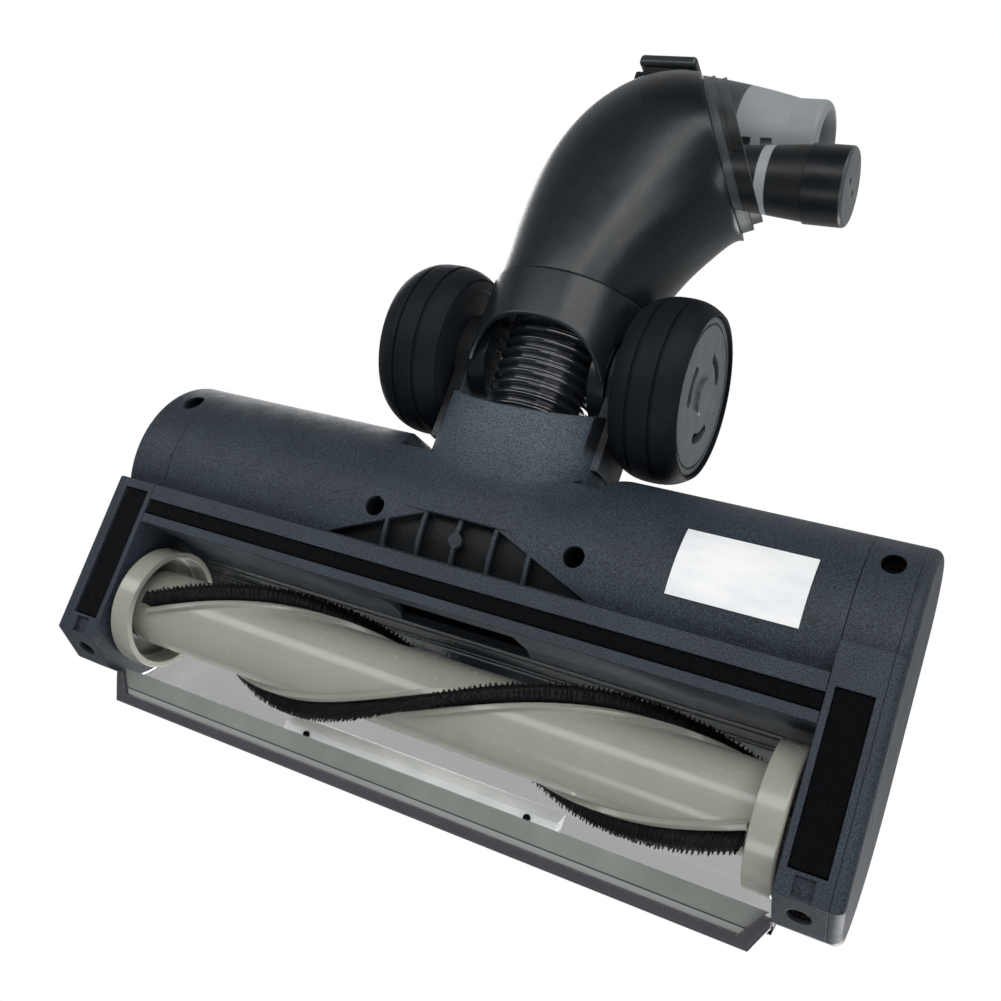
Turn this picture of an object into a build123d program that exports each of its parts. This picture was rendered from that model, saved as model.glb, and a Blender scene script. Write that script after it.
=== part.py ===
from build123d import *
import math
import os

# Vacuum floor brush head, in millimetres.
# +X runs along the brush, -Y is the front, +Z is up in use, and the sole stands on Z = 0.

# How far a cutting shape reaches past what it cuts
OVER = 1.0
REACH = 20.0

# Housing: a long shell with a barrel-shaped belly behind the brush chamber
BODY_HALF = 111.5
WALL = 2.2
SOLE_Z = 0.0
RAIL_FRONT = -9.0
RAIL_REAR = 4.0
RAIL_HEIGHT = 7.0
BARREL_Y = 16.4
BARREL_Z = 34.0
BARREL_R = 32.0
TOP_Z = 54.5
SPLIT_Z = BARREL_Z
SPLIT_GAP = 0.05
OUTLET_HALF = 23.0
OUTLET_LOW = 12.3
OUTLET_HIGH = 30.0
WINDOW_REAR = -16.0
FIT_GAP = 0.2

# Brush roll
ROLL_Y = -33.0
ROLL_Z = 20.5
CHAMBER_R = 23.0
CORE_R = 12.6
CORE_BORE_GAP = 0.02
CORE_END_CLEAR = 0.2
BRISTLE_TIP_R = 19.0
BRISTLE_WIDTH = 3.4
BRISTLE_PITCH = 224.0
BRISTLE_ROWS = 2
BRISTLE_END_CLEAR = 1.2
LIP_HEIGHT = 1.7
LIP_WIDTH = 1.6
LIP_GAP = 0.4
LIP_SINK = 1.2
ROLL_TURN = 146.7
RING_R = 20.0
RING_WALL = 2.0
RING_DEPTH = 8.0
RING_SIDE_GAP = 1.0
AXLE_R = 3.0
AXLE_END_CLEAR = 1.5
AXLE_HOLE_GAP = 1.0
RUN_GAP = 0.05

# End blocks and side caps
BLOCK_WIDTH = 13.3
BLOCK_GAP = 0.2
BLOCK_FRONT = -50.0
BEVEL_Y = -57.5
BEVEL_Z = 13.5
BLOCK_NOSE_Y = -58.5
NOSE_Y = -61.5
NOSE_Z = 24.0
RIGHT_BLOCK_REAR = 12.5
CAP_THICK = 3.5
CAP_ROUND = 2.6
GATE_SIZE = 5.0
GATE_DEPTH = 1.5
GATE_MARGIN = 0.9
BEARING_R = 7.0
BEARING_WIDTH = 5.0
BEARING_SEAT_GAP = 0.03
BEARING_INSET = 0.1

# Felt strips
FELT_THICK = 2.4
FELT_RECESS = 0.4
FELT_SIDE_GAP = 0.15
PAD_INSET = 1.8
PAD_FRONT = -43.5
PAD_REAR = 1.0
SLOT_FRONT = -6.0
SLOT_REAR = -1.0

# Rear saddle and hose neck
SADDLE_HALF = 35.0
SHOULDER_R = 9.0
NECK_HALF_WIDTH = 29.0
NECK_HALF_HEIGHT = 23.5
NECK_Z = 27.0
NECK_START = 23.0
NECK_TOP_END = 46.0
NECK_FLOOR_END = 56.0
NECK_SIDE_END = 67.0
TROUGH_TOP = 30.0

# Belly recess with its ribs
RECESS_HALF_FRONT = 44.0
RECESS_HALF_REAR = 10.0
RECESS_FRONT = 5.0
RECESS_REAR = 19.0
RECESS_DEPTH = 3.4
RECESS_BACKING = 2.0
RECESS_RIB_COUNT = 5
RECESS_RIB_PITCH = 12.0
RECESS_RIB_THICK = 1.2
RECESS_BOSS_R = 2.2

# Screws
SCREW_HOLE_R = 3.2
SCREW_HEAD_R = 2.9
SCREW_HEAD_HEIGHT = 2.4
SCREW_SHANK_R = 1.4
SCREW_SHANK_LENGTH = 7.0
SCREW_SINK = 6.0
SCREW_BOSS_WALL = 2.2
SCREW_TIP_WALL = 1.0
BELLY_SCREW_X = (29.7, -37.1)
BELLY_SCREW_Y = 16.1
END_SCREW_Y = 36.5
FRONT_SCREW_SINK = 1.0
FRONT_WELL_DEPTH = 14.0
SCREW_HEAD_GAP = 0.2
SCREW_CROSS = (2.8, 0.7, 0.9)

# Clear window, front pane, bumper and light bar
WINDOW_THICK = 2.0
PANE_REAR = -56.0
PANE_FRONT = -63.5
PANE_SIDE_INSET = 1.5
PANE_TAPER = 5.5
PANE_Z = 18.0
PANE_THICK = 2.0
BUMPER_WIDTH = 3.2
BUMPER_DROP = 1.5
BUMPER_RISE = 1.2
BUMPER_CHAMFER = 0.9
BUMPER_END_GAP = 1.2
PANE_GAP = 0.1
LIGHT_HALF = 48.0
LIGHT_THICK = 3.4
LIGHT_LOW = 26.0
LIGHT_HIGH = 31.0
LIGHT_SCREW_X = 39.0
LIGHT_SCREW_R = 1.0
LIGHT_SCREW_LENGTH = 2.0
LIGHT_SCREW_HEAD = 0.8

# Blank label on the belly
LABEL_INSET = 10.5
LABEL_WIDTH = 36.0
LABEL_Y0 = 12.7
LABEL_Y1 = 32.4
LABEL_THICK = 0.3
LABEL_GAP = 0.02

# Pitch axis, wheels and fork
PIVOT_Y = 79.2
PIVOT_Z = 29.0
SWIVEL_Z = 27.0
EAR_R = 14.0
EAR_ARM_HALF = 10.5
EAR_THICK = 5.0
LEG_INNER = 18.2
LEG_THICK = 5.5
LEG_EAR_GAP = 0.6
LEG_R = 15.0
LEG_ARM_HALF = 12.0
LEG_REAR = 91.0
PIN_R = 4.0
PIN_CHAMFER = 0.5
WHEEL_R = 29.0
WHEEL_WIDTH = 21.5
WHEEL_EAR_GAP = 0.7
TYRE_THICK = 4.0
TYRE_GAP = 0.05
TYRE_ROUND = 3.6
GROOVE_WIDTH = 0.9
GROOVE_DEPTH = 0.8
GROOVE_OFFSETS = (6.6, 14.0)
HUBCAP_THICK = 2.4
HUBCAP_RIM = 0.9
HUBCAP_GAP = 0.1
HUBCAP_GROOVE_INSET = 2.2
HUBCAP_GROOVE_WIDTH = 0.8
HUBCAP_GROOVE_DEPTH = 0.8
HUBCAP_BOSS_R = 6.0
HUBCAP_BOSS_RISE = 1.0
HUBCAP_SLOTS = 3
HUBCAP_SLOT_PLACE = 13.0
HUBCAP_SLOT_WIDTH = 3.4
HUBCAP_SLOT_SPREAD = 42.0
HUB_WEB = 3.0
HUB_DISH = 1.2
HUB_BOSS_R = 8.0
FORK_R = 26.7
FORK_WALL = 3.2
FORK_FRONT = 86.0
FORK_ARCH_Y = 94.0
FORK_ARCH_HALF = 20.5
SEAM_Y = 101.0
SEAM_GAP = 0.3
EAR_CLEAR = 1.2

# Swivel bush and hose
BUSH_WALL = 2.2
BUSH_REACH = 6.0
HOSE_R = 17.0
HOSE_ROOT_R = 15.4
HOSE_BORE_R = 13.4
HOSE_RIBS = 13
HOSE_FLANK = 0.3
CUFF_LENGTH = 4.0
CUFF_BORE_R = 14.0
CUFF_GAP = 0.2
CUFF_START = 39.0

# Elbow: inner and outer plan points of each section, then half height and centre height
ELBOW_WALL = 3.0
ELBOW_R = 26.5
ELBOW_OVERRUN = 0.5
ELBOW_SECTIONS = (
    ((-30.5, 114.0), (26.6, 116.0), 26.6, 27.0),
    ((-37.0, 126.0), (26.0, 146.0), 26.8, 27.6),
    ((-42.0, 134.0), (11.0, 177.0), 27.4, 28.6),
    ((-45.0, 138.0), (-19.8, 187.6), 28.0, 30.0),
)
SOCKET_BORE_DEPTH = 8.0

# Wand spigot and plug at the elbow's mouth
MOUTH_STEP = 2.5
MOUTH_RING_STEP = 4.2
MOUTH_STEP_DEPTH = 4.0
MOUTH_RING_DEPTH = 3.4
MOUTH_GAP = 0.1
SPIGOT_Y = 174.5
SPIGOT_Z = 38.0
SPIGOT_R = 14.9
SPIGOT_WAIST_R = 18.0
SPIGOT_ROOT_R = 20.6
SPIGOT_BORE_R = 12.0
SPIGOT_ROOT = -15.0
SPIGOT_WAIST = -36.0
SPIGOT_LAND = -52.0
SPIGOT_LAND_LENGTH = 8.0
SPIGOT_ROUND = 2.4
PLUG_Y = 149.0
PLUG_Z = 18.5
PLUG_R = 12.0
PLUG_BARREL_R = 11.5
PLUG_ROOT_R = 9.0
PLUG_ROOT = -36.0
PLUG_SEAM = -66.0
PLUG_END = -78.5
PLUG_ROUND = 1.2
PLUG_BORE_R = 8.0
CONTACT_R = 1.1
CONTACT_HALF_PITCH = 3.2
CONTACT_DEPTH = 9.0
CONTACT_SINK = 1.0
LATCH_X = (-40.0, -46.6)
LATCH_WIDTH = 3.6
LATCH_LENGTH = 6.0
LATCH_FLOOR_R = 14.4
LATCH_TURN = 232.0

# Release button on the elbow
BUTTON_X = -5.6
BUTTON_Z = 29.5
BUTTON_WIDTH = 20.5
BUTTON_HEIGHT = 15.0
BUTTON_BOSS_ROOT = 170.0
BUTTON_BOSS_TOP = 188.2
BUTTON_STROKE = 3.0
BUTTON_CAP_THICK = 4.2
BUTTON_WALL = 1.8
BUTTON_STEM_GAP = 0.3
BUTTON_STEM_LENGTH = 7.0
BUTTON_ROUND = 1.6
BUTTON_POCKET_INSET = 0.5
POCKET_DEPTH = 17.0
SPRING_R = 2.8
SPRING_WIRE_R = 0.45
SPRING_TURNS = 4

# Drive in the left end block
MOTOR_Y = 20.0
MOTOR_Z = 31.0
MOTOR_R = 13.0
MOTOR_X0 = 50.0
MOTOR_X1 = 98.0
MOTOR_ROUND = 1.5
MOTOR_NOSE_R = 4.3
MOTOR_BACK = 10.0
MOTOR_SHAFT_END_GAP = 2.0
MOTOR_SHAFT_R = 1.5
MOTOR_SHAFT_CLEAR = 0.5
MOTOR_PULLEY_R = 5.0
BRUSH_PULLEY_R = 11.0
PULLEY_FLANGE = 1.2
PULLEY_WIDTH = 7.0
PULLEY_GAP = 0.4
BELT_WIDTH = 5.0
BELT_THICK = 1.2
BELT_GAP = 0.3
BELT_SIDE_GAP = 0.2
BELT_POCKET_CLEAR = 2.6

# Derived places
BLOCK_INNER = BODY_HALF + BLOCK_GAP
BLOCK_OUTER = BLOCK_INNER + BLOCK_WIDTH
CAP_OUTER = BLOCK_OUTER + CAP_THICK
REAR_Y = BARREL_Y + BARREL_R
SADDLE_Y = REAR_Y - SHOULDER_R
RING_OUTER = BODY_HALF - RING_SIDE_GAP
RING_INNER = RING_OUTER - RING_DEPTH
BLOCK_MIDDLE = (BLOCK_INNER + BLOCK_OUTER) / 2
BEARING_FACE = BLOCK_INNER + BEARING_INSET
PULLEY_X0 = BEARING_FACE + BEARING_WIDTH + PULLEY_GAP
FORK_BORE_R = FORK_R - FORK_WALL
BUSH_R = FORK_BORE_R - CORE_BORE_GAP
HOSE_FRONT = CUFF_START + CUFF_LENGTH
HOSE_REAR = LEG_REAR + CUFF_GAP
BUSH_FRONT = HOSE_REAR + CUFF_LENGTH + CUFF_GAP
LEG_OUTER = LEG_INNER + LEG_THICK
EAR_INNER = LEG_OUTER + LEG_EAR_GAP
EAR_OUTER = EAR_INNER + EAR_THICK
WHEEL_INNER = EAR_OUTER + WHEEL_EAR_GAP
WHEEL_OUTER = WHEEL_INNER + WHEEL_WIDTH
HUB_R = WHEEL_R - TYRE_THICK - TYRE_GAP
HUBCAP_FACE = WHEEL_OUTER - HUBCAP_BOSS_RISE
BUTTON_LIFT = BUTTON_STROKE + SEAM_GAP
SPIGOT_END = SPIGOT_LAND - SPIGOT_LAND_LENGTH - SPIGOT_ROUND
PANE_HALF_REAR = BODY_HALF - PANE_SIDE_INSET
PANE_HALF_FRONT = PANE_HALF_REAR - PANE_TAPER
LABEL_X0 = LABEL_INSET - BODY_HALF
LABEL_X1 = LABEL_X0 + LABEL_WIDTH


def box(x0, x1, y0, y1, z0, z1):
    """A box given by its two corners."""
    centre = Pos((x0 + x1) / 2, (y0 + y1) / 2, (z0 + z1) / 2)
    return centre * Box(abs(x1 - x0), abs(y1 - y0), abs(z1 - z0))


def yz_prism(face, x0, x1):
    """A profile drawn in (Y, Z), extruded from x0 to x1."""
    return extrude(Plane.YZ.offset(x0) * face, x1 - x0)


def xy_prism(face, z0, z1):
    """A plan shape extruded from z0 to z1."""
    return extrude(Pos(0, 0, z0) * face, z1 - z0)


def rod_x(y, z, radius, x0, x1):
    """A round bar along X."""
    return yz_prism(Pos(y, z) * Circle(radius), x0, x1)


def tube_x(y, z, outer, inner, x0, x1):
    """A round tube along X."""
    return rod_x(y, z, outer, x0, x1) - rod_x(y, z, inner, x0 - OVER, x1 + OVER)


def y_plane(x, y, z):
    """A plane facing the rear, with its first axis along X."""
    return Plane((x, y, z), x_dir=(1, 0, 0), z_dir=(0, 1, 0))


def rod_y(x, z, radius, y0, y1):
    """A round bar along Y."""
    return extrude(y_plane(x, y0, z) * Circle(radius), y1 - y0)


def tube_y(x, z, outer, inner, y0, y1):
    """A round tube along Y."""
    return rod_y(x, z, outer, y0, y1) - rod_y(x, z, inner, y0 - OVER, y1 + OVER)


def flipped(shape):
    """The same piece on the other side of the head."""
    return mirror(shape, about=Plane.YZ)


def barrel_z(y):
    """Height of the belly's outer surface at a given depth."""
    return BARREL_Z - math.sqrt(BARREL_R ** 2 - (y - BARREL_Y) ** 2)


def on_circle(cy, cz, radius, degrees):
    """A point of a circle in the (Y, Z) plane."""
    angle = math.radians(degrees)
    return (cy + radius * math.cos(angle), cz + radius * math.sin(angle))


def belly_and_top(start_y):
    """Edges from the sole up the belly, round the rear and along the top to the window."""
    top_r = TOP_Z - BARREL_Z
    top_y = REAR_Y - top_r
    rear = (REAR_Y, BARREL_Z)
    foot = (start_y, barrel_z(start_y))
    return [
        Line((start_y, SOLE_Z), foot),
        ThreePointArc(foot, on_circle(BARREL_Y, BARREL_Z, BARREL_R, -45), rear),
        ThreePointArc(rear, on_circle(top_y, BARREL_Z, top_r, 45), (top_y, TOP_Z)),
        Line((top_y, TOP_Z), (WINDOW_REAR, TOP_Z)),
    ]


def window_circle(nose_y=NOSE_Y):
    """Centre and radius of a front curve down to a nose, level with the top at its rear edge."""
    run = WINDOW_REAR - nose_y
    fall = TOP_Z - NOSE_Z
    radius = (run ** 2 + fall ** 2) / (2 * fall)
    return WINDOW_REAR, TOP_Z - radius, radius


def rear_profile():
    """Outer section of the housing behind the brush chamber."""
    reach = WINDOW_REAR - ROLL_Y
    crown = (WINDOW_REAR, ROLL_Z + math.sqrt(CHAMBER_R ** 2 - reach ** 2))
    back = (ROLL_Y + CHAMBER_R, ROLL_Z)
    half_way = math.degrees(math.atan2(crown[1] - ROLL_Z, reach)) / 2
    edges = [Line((RAIL_FRONT, SOLE_Z), (RAIL_REAR, SOLE_Z))]
    edges += belly_and_top(RAIL_REAR)
    edges += [
        Line((WINDOW_REAR, TOP_Z), crown),
        ThreePointArc(crown, on_circle(ROLL_Y, ROLL_Z, CHAMBER_R, half_way), back),
        Line(back, (RAIL_FRONT, ROLL_Z / 2)),
        Line((RAIL_FRONT, ROLL_Z / 2), (RAIL_FRONT, SOLE_Z)),
    ]
    return make_face(edges)


def end_profile(rear_y):
    """Full side outline of the head, used by the end blocks and the caps."""
    cy, cz, radius = window_circle(BLOCK_NOSE_Y)
    nose_angle = math.degrees(math.atan2(NOSE_Z - cz, BLOCK_NOSE_Y - cy))
    middle = on_circle(cy, cz, radius, (90 + nose_angle) / 2)
    edges = [Line((BLOCK_FRONT, SOLE_Z), (rear_y, SOLE_Z))]
    edges += belly_and_top(rear_y)
    edges += [
        ThreePointArc((WINDOW_REAR, TOP_Z), middle, (BLOCK_NOSE_Y, NOSE_Z)),
        Line((BLOCK_NOSE_Y, NOSE_Z), (BEVEL_Y, BEVEL_Z)),
        Line((BEVEL_Y, BEVEL_Z), (BLOCK_FRONT, SOLE_Z)),
    ]
    return make_face(edges)


def saddle(grow):
    """Space cut from the middle of the rear, between two rounded shoulders."""
    rear = REAR_Y + REACH
    low_z = SOLE_Z - OVER
    high_z = TOP_Z + OVER
    centre_x = SADDLE_HALF + SHOULDER_R
    low = box(-SADDLE_HALF - grow, SADDLE_HALF + grow, SADDLE_Y - grow, rear, low_z, high_z)
    wide = box(-centre_x, centre_x, SADDLE_Y, rear, low_z, high_z)
    for side in (-1, 1):
        disc = Pos(side * centre_x, SADDLE_Y) * Circle(SHOULDER_R - grow)
        wide -= xy_prism(disc, low_z - OVER, high_z + OVER)
    return low + wide


def neck(inset, y0, y1):
    """Oval bar of the hose neck."""
    oval = Ellipse(NECK_HALF_WIDTH - inset, NECK_HALF_HEIGHT - inset)
    return extrude(y_plane(0, y0, NECK_Z) * oval, y1 - y0)


def neck_outer():
    """Neck that is whole near the housing and an open trough behind, cut on a slant."""
    half = NECK_HALF_WIDTH + OVER
    solid = neck(0, NECK_START, NECK_SIDE_END + REACH)
    solid -= box(-half, half, NECK_TOP_END, NECK_SIDE_END + 2 * REACH, TROUGH_TOP, TOP_Z + OVER)
    lean = math.degrees(math.atan2(NECK_SIDE_END - NECK_FLOOR_END, NECK_HALF_HEIGHT))
    reach = 4 * NECK_HALF_WIDTH
    behind = Pos(0, reach / 2, 0) * Box(reach, reach, 2 * reach)
    return solid - Pos(0, NECK_SIDE_END, NECK_Z) * Rot(-lean, 0, 0) * behind


def housing_shell():
    """The whole hollow housing, before it is parted into its two mouldings."""
    outer = yz_prism(rear_profile(), -BODY_HALF, BODY_HALF) - saddle(0)
    outer += neck_outer()
    inner_half = BODY_HALF - WALL
    inner_face = offset(rear_profile(), -WALL, kind=Kind.INTERSECTION)
    inner = yz_prism(inner_face, -inner_half, inner_half) - saddle(WALL)
    inner += neck(WALL, SADDLE_Y - SHOULDER_R, NECK_SIDE_END + REACH)
    return outer - inner


def ear(side):
    """Pivot ear at one side of the neck."""
    plate = Pos(PIVOT_Y, PIVOT_Z) * Circle(EAR_R)
    arm = Pos((NECK_TOP_END + PIVOT_Y) / 2, PIVOT_Z) * Rectangle(PIVOT_Y - NECK_TOP_END, 2 * EAR_ARM_HALF)
    hole = Pos(PIVOT_Y, PIVOT_Z) * Circle(PIN_R + BEARING_SEAT_GAP)
    solid = yz_prism(plate + arm - hole, EAR_INNER, EAR_OUTER)
    return solid if side > 0 else flipped(solid)


def recess_plan(grow):
    """Plan shape of the ribbed recess under the neck."""
    front = RECESS_FRONT - grow
    rear = RECESS_REAR + grow
    return make_face(Polyline(
        (-RECESS_HALF_FRONT - grow, front), (RECESS_HALF_FRONT + grow, front),
        (RECESS_HALF_REAR + grow, rear), (-RECESS_HALF_REAR - grow, rear), close=True))


def belly_ring(outer_inset, inner_inset):
    """Layer of the belly between two depths under its outer surface."""
    outer = Pos(BARREL_Y, BARREL_Z) * Circle(BARREL_R - outer_inset)
    inner = Pos(BARREL_Y, BARREL_Z) * Circle(BARREL_R - inner_inset)
    return yz_prism(outer - inner, -BODY_HALF, BODY_HALF)


def recess_pockets():
    """The recess in plan, without its ribs and its round boss."""
    plan = recess_plan(0)
    for index in range(RECESS_RIB_COUNT):
        x = (index - (RECESS_RIB_COUNT - 1) / 2) * RECESS_RIB_PITCH
        plan -= Pos(x, RECESS_REAR / 2) * Rectangle(RECESS_RIB_THICK, 2 * RECESS_REAR)
    return plan - Pos(0, (RECESS_FRONT + RECESS_REAR) / 2) * Circle(RECESS_BOSS_R)


def belly_recess(housing):
    """Back the belly from inside, then sink the pockets between the ribs into it."""
    backing = xy_prism(recess_plan(RECESS_BACKING), SOLE_Z, BARREL_Z / 2)
    housing += backing & belly_ring(WALL / 2, RECESS_DEPTH + RECESS_BACKING)
    depth = belly_ring(-BARREL_R / 2, RECESS_DEPTH)
    for pocket in recess_pockets().faces():
        housing -= xy_prism(pocket, SOLE_Z - OVER, BARREL_Z / 2) & depth
    return housing


def lower_housing():
    """Belly moulding with the rear rail, chamber wall, neck trough and pivot ears."""
    housing = split(housing_shell(), bisect_by=Plane.XY.offset(SPLIT_Z), keep=Keep.BOTTOM)
    housing += ear(1)
    housing += ear(-1)
    housing += box(-BODY_HALF, BODY_HALF, RAIL_FRONT, RAIL_REAR, SOLE_Z, RAIL_HEIGHT)
    housing -= box(-BODY_HALF - OVER, BODY_HALF + OVER, SLOT_FRONT, SLOT_REAR,
                   SOLE_Z - OVER, FELT_THICK + FELT_RECESS)
    housing -= box(-OUTLET_HALF, OUTLET_HALF, ROLL_Y, RAIL_REAR, OUTLET_LOW, OUTLET_HIGH)
    for x in BELLY_SCREW_X:
        top = barrel_z(BELLY_SCREW_Y) + SCREW_SINK + SCREW_HEAD_HEIGHT + SCREW_SHANK_LENGTH
        boss = Pos(x, BELLY_SCREW_Y) * Circle(SCREW_HOLE_R + SCREW_BOSS_WALL)
        housing += xy_prism(boss, barrel_z(BELLY_SCREW_Y) + WALL / 2, top + SCREW_TIP_WALL)
        housing -= screw_well(x, BELLY_SCREW_Y)
    housing -= rod_x(MOTOR_Y, MOTOR_Z, MOTOR_SHAFT_R + MOTOR_SHAFT_CLEAR, 0, BODY_HALF + OVER)
    return belly_recess(housing)


def screw_well(x, y):
    """Counterbore and pilot hole of a screw that goes up into the belly."""
    seat = barrel_z(y) + SCREW_SINK + SCREW_HEAD_HEIGHT
    well = xy_prism(Pos(x, y) * Circle(SCREW_HOLE_R), SOLE_Z - OVER, seat)
    return well + xy_prism(Pos(x, y) * Circle(SCREW_SHANK_R + RUN_GAP), seat - OVER, seat + SCREW_SHANK_LENGTH)


def screw():
    """Pan-head screw standing on its head, with a cross recess."""
    solid = Cylinder(SCREW_HEAD_R, SCREW_HEAD_HEIGHT, align=(Align.CENTER, Align.CENTER, Align.MIN))
    shank = Cylinder(SCREW_SHANK_R, SCREW_SHANK_LENGTH, align=(Align.CENTER, Align.CENTER, Align.MIN))
    solid += Pos(0, 0, SCREW_HEAD_HEIGHT) * shank
    for turn in (0, 90):
        cross = Box(*SCREW_CROSS, align=(Align.CENTER, Align.CENTER, Align.MIN))
        solid -= Rot(0, 0, turn) * cross
    return solid


def front_screw_place(side):
    """Place of the screw in a block's front bevel, with its shank pointing into the block."""
    run = BLOCK_FRONT - BEVEL_Y
    tilt = math.degrees(math.atan2(run, BEVEL_Z))
    return Pos(side * BLOCK_MIDDLE, (BLOCK_FRONT + BEVEL_Y) / 2, BEVEL_Z / 2) * Rot(-90 + tilt, 0, 0)


def housing_screws():
    """The screws that close the belly and hold the end blocks."""
    spots = [(x, BELLY_SCREW_Y) for x in BELLY_SCREW_X]
    spots += [(x, END_SCREW_Y) for x in (BLOCK_MIDDLE, -BLOCK_MIDDLE)]
    places = [Pos(x, y, barrel_z(y) + SCREW_SINK) for x, y in spots]
    for side in (-1, 1):
        places.append(front_screw_place(side) * Pos(0, 0, FRONT_SCREW_SINK))
    return Compound(children=[place * screw() for place in places])


def upper_housing():
    """Top moulding behind the window."""
    return split(housing_shell(), bisect_by=Plane.XY.offset(SPLIT_Z + SPLIT_GAP), keep=Keep.TOP)


def end_block(rear_y):
    """End wall of the brush chamber, on the +X side, with its pad pocket and screw holes."""
    block = yz_prism(end_profile(rear_y), BLOCK_INNER, BLOCK_OUTER)
    block -= box(BLOCK_INNER + PAD_INSET, BLOCK_OUTER - PAD_INSET, PAD_FRONT, PAD_REAR,
                 SOLE_Z - OVER, FELT_THICK + FELT_RECESS)
    gate_rear = PAD_FRONT - GATE_MARGIN
    block -= box(BLOCK_MIDDLE - GATE_SIZE / 2, BLOCK_MIDDLE + GATE_SIZE / 2, gate_rear - GATE_SIZE, gate_rear,
                 SOLE_Z - OVER, GATE_DEPTH)
    block -= screw_well(BLOCK_MIDDLE, END_SCREW_Y)
    seat = FRONT_SCREW_SINK + SCREW_HEAD_HEIGHT
    well = Circle(SCREW_HEAD_R + SCREW_HEAD_GAP)
    pilot = Circle(SCREW_SHANK_R + RUN_GAP)
    block -= front_screw_place(1) * xy_prism(well, seat - FRONT_WELL_DEPTH, seat)
    block -= front_screw_place(1) * xy_prism(pilot, seat - OVER, seat + SCREW_SHANK_LENGTH)
    seat_r = BEARING_R + BEARING_SEAT_GAP
    return block - rod_x(ROLL_Y, ROLL_Z, seat_r, BLOCK_INNER - OVER, BEARING_FACE + BEARING_WIDTH)


def belt_path(radius_brush, radius_motor):
    """Loop shape round the two pulleys, as the hull of two circles."""
    return make_hull(
        (Pos(ROLL_Y, ROLL_Z) * Circle(radius_brush)).edges()
        + (Pos(MOTOR_Y, MOTOR_Z) * Circle(radius_motor)).edges())


def left_end_block():
    """Drive-side block, hollowed for the belt."""
    clear = PULLEY_FLANGE + BELT_POCKET_CLEAR
    pocket = belt_path(BRUSH_PULLEY_R + clear, MOTOR_PULLEY_R + clear)
    block = end_block(RAIL_REAR)
    block -= yz_prism(pocket, BEARING_FACE + BEARING_WIDTH, BLOCK_OUTER + OVER)
    return block - rod_x(MOTOR_Y, MOTOR_Z, MOTOR_SHAFT_R + MOTOR_SHAFT_CLEAR, BLOCK_INNER - OVER, BLOCK_OUTER)


def right_end_block():
    """Idle-side block, which reaches further back over the belly."""
    block = end_block(RIGHT_BLOCK_REAR)
    block -= rod_x(ROLL_Y, ROLL_Z, AXLE_R + AXLE_HOLE_GAP, BLOCK_INNER, BLOCK_OUTER - WALL)
    return flipped(block)


def side_cap(rear_y):
    """Rounded cover on the +X end."""
    cap = yz_prism(end_profile(rear_y), BLOCK_OUTER + PANE_GAP, CAP_OUTER)
    return fillet(cap.faces().sort_by(Axis.X)[-1].edges(), CAP_ROUND)


def felt_pad():
    """Felt pad let into the bottom of an end block."""
    gap = FELT_SIDE_GAP
    return box(BLOCK_INNER + PAD_INSET + gap, BLOCK_OUTER - PAD_INSET - gap, PAD_FRONT + gap, PAD_REAR - gap,
               FELT_RECESS, FELT_RECESS + FELT_THICK)


def rear_felt_strip():
    """Felt strip along the rear rail."""
    gap = FELT_SIDE_GAP
    return box(-BODY_HALF, BODY_HALF, SLOT_FRONT + gap, SLOT_REAR - gap, FELT_RECESS, FELT_RECESS + FELT_THICK)


def blank_label():
    """Thin blank sticker that follows the belly."""
    ring = belly_ring(-LABEL_GAP - LABEL_THICK, -LABEL_GAP)
    return ring & box(LABEL_X0, LABEL_X1, LABEL_Y0, LABEL_Y1, 0, BARREL_Z)


def pane_plan(grow):
    """Plan shape of the flat pane under the window's nose."""
    return make_face(Polyline(
        (-PANE_HALF_REAR - grow, PANE_REAR), (-PANE_HALF_FRONT - grow, PANE_FRONT - grow),
        (PANE_HALF_FRONT + grow, PANE_FRONT - grow), (PANE_HALF_REAR + grow, PANE_REAR), close=True))


def clear_window():
    """Transparent cover over the brush, with the flat pane along its lower edge."""
    cy, cz, radius = window_circle()
    half = BODY_HALF - FIT_GAP
    ring = Pos(cy, cz) * (Circle(radius) - Circle(radius - WINDOW_THICK))
    run = WINDOW_REAR - NOSE_Y + REACH
    rise = TOP_Z - NOSE_Z + REACH
    front = Pos(WINDOW_REAR - FIT_GAP, NOSE_Z) * Rectangle(run, rise, align=(Align.MAX, Align.MIN))
    cover = yz_prism(ring & front, -half, half)
    cover += xy_prism(pane_plan(0), PANE_Z, PANE_Z + PANE_THICK)
    return cover + box(-PANE_HALF_FRONT, PANE_HALF_FRONT, NOSE_Y, NOSE_Y + WINDOW_THICK,
                       PANE_Z + PANE_THICK / 2, NOSE_Z + WINDOW_THICK / 2)


def front_bumper():
    """Bevelled rim round the pane."""
    limit = BODY_HALF - FIT_GAP
    low = PANE_Z - BUMPER_DROP
    high = PANE_Z + PANE_THICK + BUMPER_RISE
    rim = xy_prism(pane_plan(BUMPER_WIDTH), low, high)
    rim = chamfer(rim.faces().sort_by(Axis.Z)[0].edges(), BUMPER_CHAMFER)
    rim -= xy_prism(pane_plan(PANE_GAP), low - OVER, high + OVER)
    return rim & box(-limit, limit, PANE_FRONT - REACH, PANE_REAR - BUMPER_END_GAP, low - OVER, high + OVER)


def light_bar():
    """Milky lens of the front light, following the inside of the window."""
    cy, cz, radius = window_circle()
    outer = radius - WINDOW_THICK - PANE_GAP
    ring = Pos(cy, cz) * (Circle(outer) - Circle(outer - LIGHT_THICK))
    middle = Pos(NOSE_Y, (LIGHT_LOW + LIGHT_HIGH) / 2)
    bar = yz_prism(ring & middle * Rectangle(2 * REACH, LIGHT_HIGH - LIGHT_LOW), -LIGHT_HALF, LIGHT_HALF)
    for side in (-1, 1):
        bar -= light_screw(side, LIGHT_SCREW_R + RUN_GAP)
    return bar


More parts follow.
